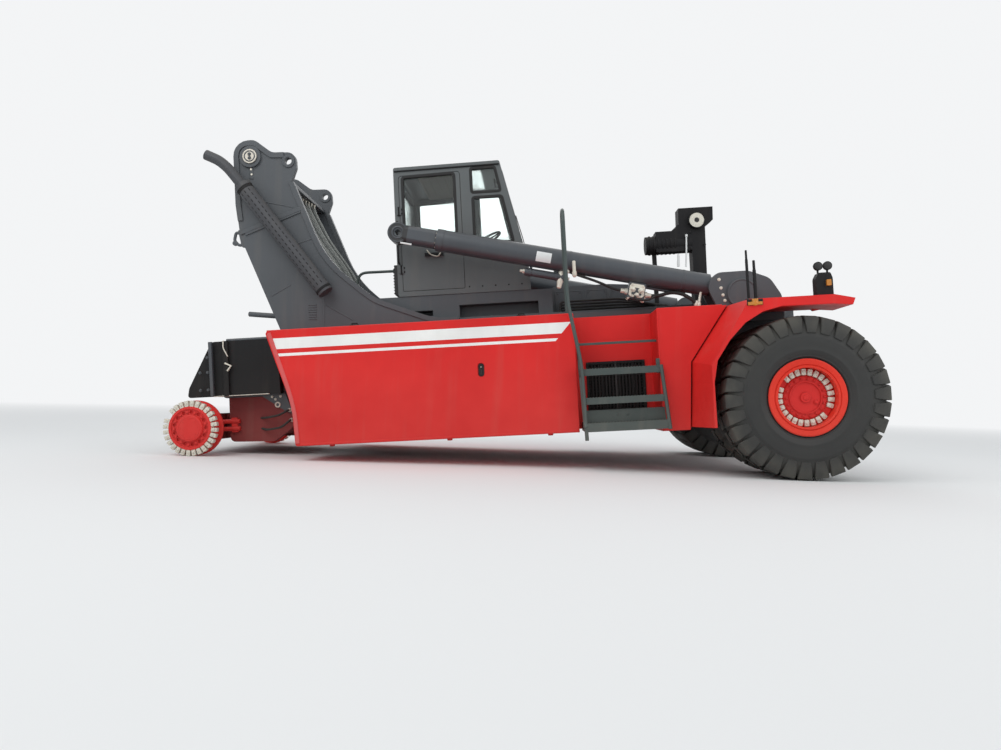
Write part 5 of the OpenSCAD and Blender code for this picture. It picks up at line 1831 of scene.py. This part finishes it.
def add_engine_covers():
    """Rocker covers, air cleaner and its intake."""
    top = Shape(1)
    for y in (-0.19, 0.19):
        for k in range(4):
            x = -4.40 + 0.28 * k
            corners = ((-0.11, -0.09), (0.11, -0.09), (0.11, 0.09), (-0.11, 0.09))
            levels = ((1.818, 1.0), (1.862, 0.96), (1.874, 0.84))
            top.skin([[(x + 0.12 + u * g, y + v * g, z) for u, v in corners] for z, g in levels])
            for u in (-0.08, 0.08):
                top.bolt((x + 0.12 + u, y, 1.873), UP, 0.009, 0.008)
    top.pipe([
        (-5.08, 0.28, 1.80), (-5.08, 0.28, 1.90), (-5.08, 0.54, 1.90), (-5.08, 0.56, 1.70),
        (-4.88, 0.56, 1.68),
    ], 0.07, 0.045, 20)
    top.turned(
        (-4.90, 0.56, 1.68), FORWARD,
        [(0, 0.08), (0.01, 0.10), (0.03, 0.104), (0.30, 0.104), (0.31, 0.098), (0.33, 0.098), (0.34, 0.06)],
        32,
    )
    for x in (-4.82, -4.66):
        top.strip([(x - 0.02, 0.42, 1.68), (x + 0.02, 0.42, 1.68)], OUTWARD, 0.10, -0.01, 0.05)
    top.make("engine_covers", "carrier", "Black paint", smooth=40)


def add_hood_details():
    """Seams, grips and bolts of the valve hood."""
    hood = Shape(1)
    for y in (-0.48, 0.48):
        way = 1 if y > 0 else -1
        for x0, x1 in ((-2.34, -2.02), (-1.98, -1.72), (-1.68, -1.40)):
            seam = side_loop([(x0, 1.96, 0.02), (x0, 2.20, 0.02), (x1, 2.20, 0.02), (x1, 1.96, 0.02)], y)
            hood.trim(seam, (0, way, 0), 0.012, -0.002, 0.003)
            middle, out = (x0 + x1) / 2, y + way * 0.03
            grip = [
                (middle - 0.05, y, 2.08), (middle - 0.05, out, 2.08), (middle + 0.05, out, 2.08),
                (middle + 0.05, y, 2.08),
            ]
            hood.pipe(grip, 0.012, 0.006, 8)
            for px in (x0 + 0.03, x1 - 0.03):
                hood.bolt((px, y, 2.175), (0, way, 0), 0.007, 0.005)
    hood.make("hood_details", "carrier", "Frame grey", smooth=45)


def add_front_details():
    """Tow eyes, bolts and cover on the front tie, and grip bars on the deck."""
    front = Shape(1)
    face = 0.279
    for y in (-0.55, 0.55):
        front.turned((0.276, y, 1.30), FORWARD, [(-0.004, 0.075), (0.012, 0.075), (0.013, 0.045)], 24)
        front.pipe([
            (0.27, y - 0.035, 1.30), (0.325, y - 0.035, 1.30), (0.325, y + 0.035, 1.30),
            (0.27, y + 0.035, 1.30),
        ], 0.02, 0.012, 10)
    for k in range(9):
        for z in (1.12, 1.72):
            front.bolt((face, -0.64 + 0.16 * k, z), FORWARD, 0.011, 0.009)
    cover = rounded([(-0.42, 1.22, 0.04), (0.42, 1.22, 0.04), (0.42, 1.62, 0.04), (-0.42, 1.62, 0.04)])
    front.trim([(face, p.x, p.y) for p in cover], FORWARD, 0.014, -0.003, 0.004)
    # grip bars on the deck
    for k in range(18):
        x = -2.30 + 0.085 * k
        front.strip([(x, 0.57, DECK_TOP), (x + 0.04, 0.67, DECK_TOP)], UP, 0.012, -0.002, 0.003)
    front.make("front_details", "carrier", "Frame grey", smooth=45)


def add_deck_pipes():
    """Four pipes along the deck."""
    pipes = Shape(1)
    foot = DECK_TOP - 0.001
    for k in range(4):
        y = -0.56 - 0.035 * k
        route = bend_route([
            (-2.30, y, foot), (-2.30, y, 1.965 + 0.03 * k), (-1.6, y, 1.965 + 0.03 * k),
            (-1.05 - 0.05 * k, y, 1.965), (-1.0 - 0.05 * k, y, foot),
        ], 0.06)
        pipes.tube(route, 0.013, 10)
        pipes.turned((-2.30, y, foot), UP, [(0, 0.018), (0.025, 0.018), (0.027, 0.013)], 8)
        pipes.turned((-1.0 - 0.05 * k, y, foot), UP, [(0, 0.018), (0.025, 0.018), (0.027, 0.013)], 8)
    pipes.make("deck_pipes", "carrier", "Black rubber", smooth=45)


class STACKER_OT_engine(Build):
    """Builds the engine's covers and air cleaner, and the hood's, front tie's and deck's fittings"""

    bl_idname = "stacker.engine"
    bl_label = "Engine and hood fittings"

    def build(self, scene):
        add_engine_covers()
        add_hood_details()
        add_front_details()
        add_deck_pipes()


def add_floor(scene):
    """Matt floor that fades into the even backdrop."""
    floor = bpy.data.meshes.new("floor")
    half = 60.0
    corners = [(-half, -half, 0), (half, -half, 0), (half, half, 0), (-half, half, 0)]
    floor.from_pydata(corners, [], [(0, 1, 2, 3)])
    plane = bpy.data.objects.new("floor", floor)
    scene.collection.objects.link(plane)
    material, tree, shader = new_material("Floor")
    shader.inputs["Base Color"].default_value = (0.82, 0.82, 0.81, 1.0)
    shader.inputs["Roughness"].default_value = 0.85
    place = node(tree, "TexCoord").outputs["Object"]
    away = node(tree, "VectorMath", {0: place}, operation="LENGTH").outputs["Value"]
    far = rescale(tree, away, 8.0, 34.0)
    view = maths(tree, "MULTIPLY", far, node(tree, "LightPath").outputs["Is Camera Ray"])
    glow = node(tree, "Emission", {"Color": (0.9, 0.91, 0.92, 1.0), "Strength": 1.0}).outputs[0]
    mixed = node(tree, "MixShader", {0: view, 1: shader.outputs[0], 2: glow}).outputs[0]
    tree.links.new(mixed, tree.nodes["Material Output"].inputs["Surface"])
    floor.materials.append(material)


def add_sky(scene, strength):
    """Even light, and a pale backdrop for what the camera, glass and reflections show."""
    world = bpy.data.worlds.new("Even sky")
    scene.world = world
    world.use_nodes = True
    tree = world.node_tree
    tree.nodes.clear()
    path = node(tree, "LightPath")
    direct = maths(tree, "MAXIMUM", path.outputs["Is Camera Ray"], path.outputs["Is Glossy Ray"])
    seen = maths(tree, "MAXIMUM", direct, path.outputs["Is Transmission Ray"])
    light = node(tree, "Background", {"Color": (0.92, 0.96, 1.0, 1.0), "Strength": strength}).outputs[0]
    back = node(tree, "Background", {"Color": (0.9, 0.91, 0.92, 1.0), "Strength": 1.0}).outputs[0]
    mix = node(tree, "MixShader", {0: seen, 1: light, 2: back}).outputs[0]
    node(tree, "OutputWorld", {"Surface": mix})


def add_soft_lamps(scene, power):
    """Large soft lamps: key, fill and back."""
    for name, place, size, share in (
        ("key", (-6.0, -9.0, 11.0), 9.0, 1.0),
        ("fill", (9.0, -6.0, 6.0), 7.0, 0.35),
        ("back", (0.0, 10.0, 9.0), 9.0, 0.45),
    ):
        lamp = bpy.data.lights.new(name, "AREA")
        lamp.size = size
        lamp.energy = power * share
        holder = bpy.data.objects.new(name, lamp)
        scene.collection.objects.link(holder)
        holder.location = place
        holder.rotation_euler = (Vector((0, 0, 1.4)) - Vector(place)).to_track_quat("-Z", "Y").to_euler()


def add_camera(scene, settings):
    """Camera at the photo's place."""
    camera = bpy.data.cameras.new("camera")
    camera.lens = settings.lens
    camera.sensor_fit = "HORIZONTAL"
    camera.sensor_width = 36.0
    holder = bpy.data.objects.new("camera", camera)
    scene.collection.objects.link(holder)
    tilt, roll, swing = settings.camera_turn
    aim = Matrix.Rotation(swing, 4, "Z") @ Matrix.Rotation(math.pi / 2 + tilt, 4, "X")
    look = aim @ Matrix.Rotation(roll, 4, "Z")
    holder.matrix_world = LEVEL @ Matrix.Translation(Vector(settings.camera_at)) @ look
    scene.camera = holder
    scene.view_settings.view_transform = "Standard"


class STACKER_OT_stage(Build):
    """Builds the floor, the lamps and the camera"""

    bl_idname = "stacker.stage"
    bl_label = "Stage"

    def build(self, scene):
        settings = scene.stacker_stage
        add_floor(scene)
        add_sky(scene, settings.sky)
        add_soft_lamps(scene, settings.key)
        add_camera(scene, settings)


class STACKER_PT_panel(bpy.types.Panel):
    """Lists the pieces of the machine"""

    bl_label = "Reach Stacker"
    bl_idname = "STACKER_PT_panel"
    bl_space_type = "VIEW_3D"
    bl_region_type = "UI"
    bl_category = "Reach Stacker"

    def draw(self, context):
        for operator in OPERATORS:
            self.layout.operator(operator.bl_idname)


SETTINGS = {"stacker_colours": PaintColours, "stacker_tyre": TyreSizes, "stacker_stage": StageSettings}
OPERATORS = [
    STACKER_OT_stage, STACKER_OT_finishes, STACKER_OT_tyres, STACKER_OT_wedges, STACKER_OT_cab,
    STACKER_OT_seat, STACKER_OT_lamps, STACKER_OT_cylinders, STACKER_OT_hoses, STACKER_OT_frame_parts,
    STACKER_OT_body_parts, STACKER_OT_steps, STACKER_OT_hubs, STACKER_OT_tail, STACKER_OT_engine,
]
CLASSES = [*SETTINGS.values(), *OPERATORS, STACKER_PT_panel]


def register():
    """Registers the classes and their settings."""
    for made in CLASSES:
        bpy.utils.register_class(made)
    for name, made in SETTINGS.items():
        setattr(bpy.types.Scene, name, PointerProperty(type=made))


def unregister():
    """Takes the classes and their settings away again."""
    for name in SETTINGS:
        delattr(bpy.types.Scene, name)
    for made in reversed(CLASSES):
        bpy.utils.unregister_class(made)


def main():
    """Builds everything."""
    register()
    for operator in OPERATORS:
        kind, name = operator.bl_idname.split(".")
        getattr(getattr(bpy.ops, kind), name)()


if __name__ == "__main__":
    main()
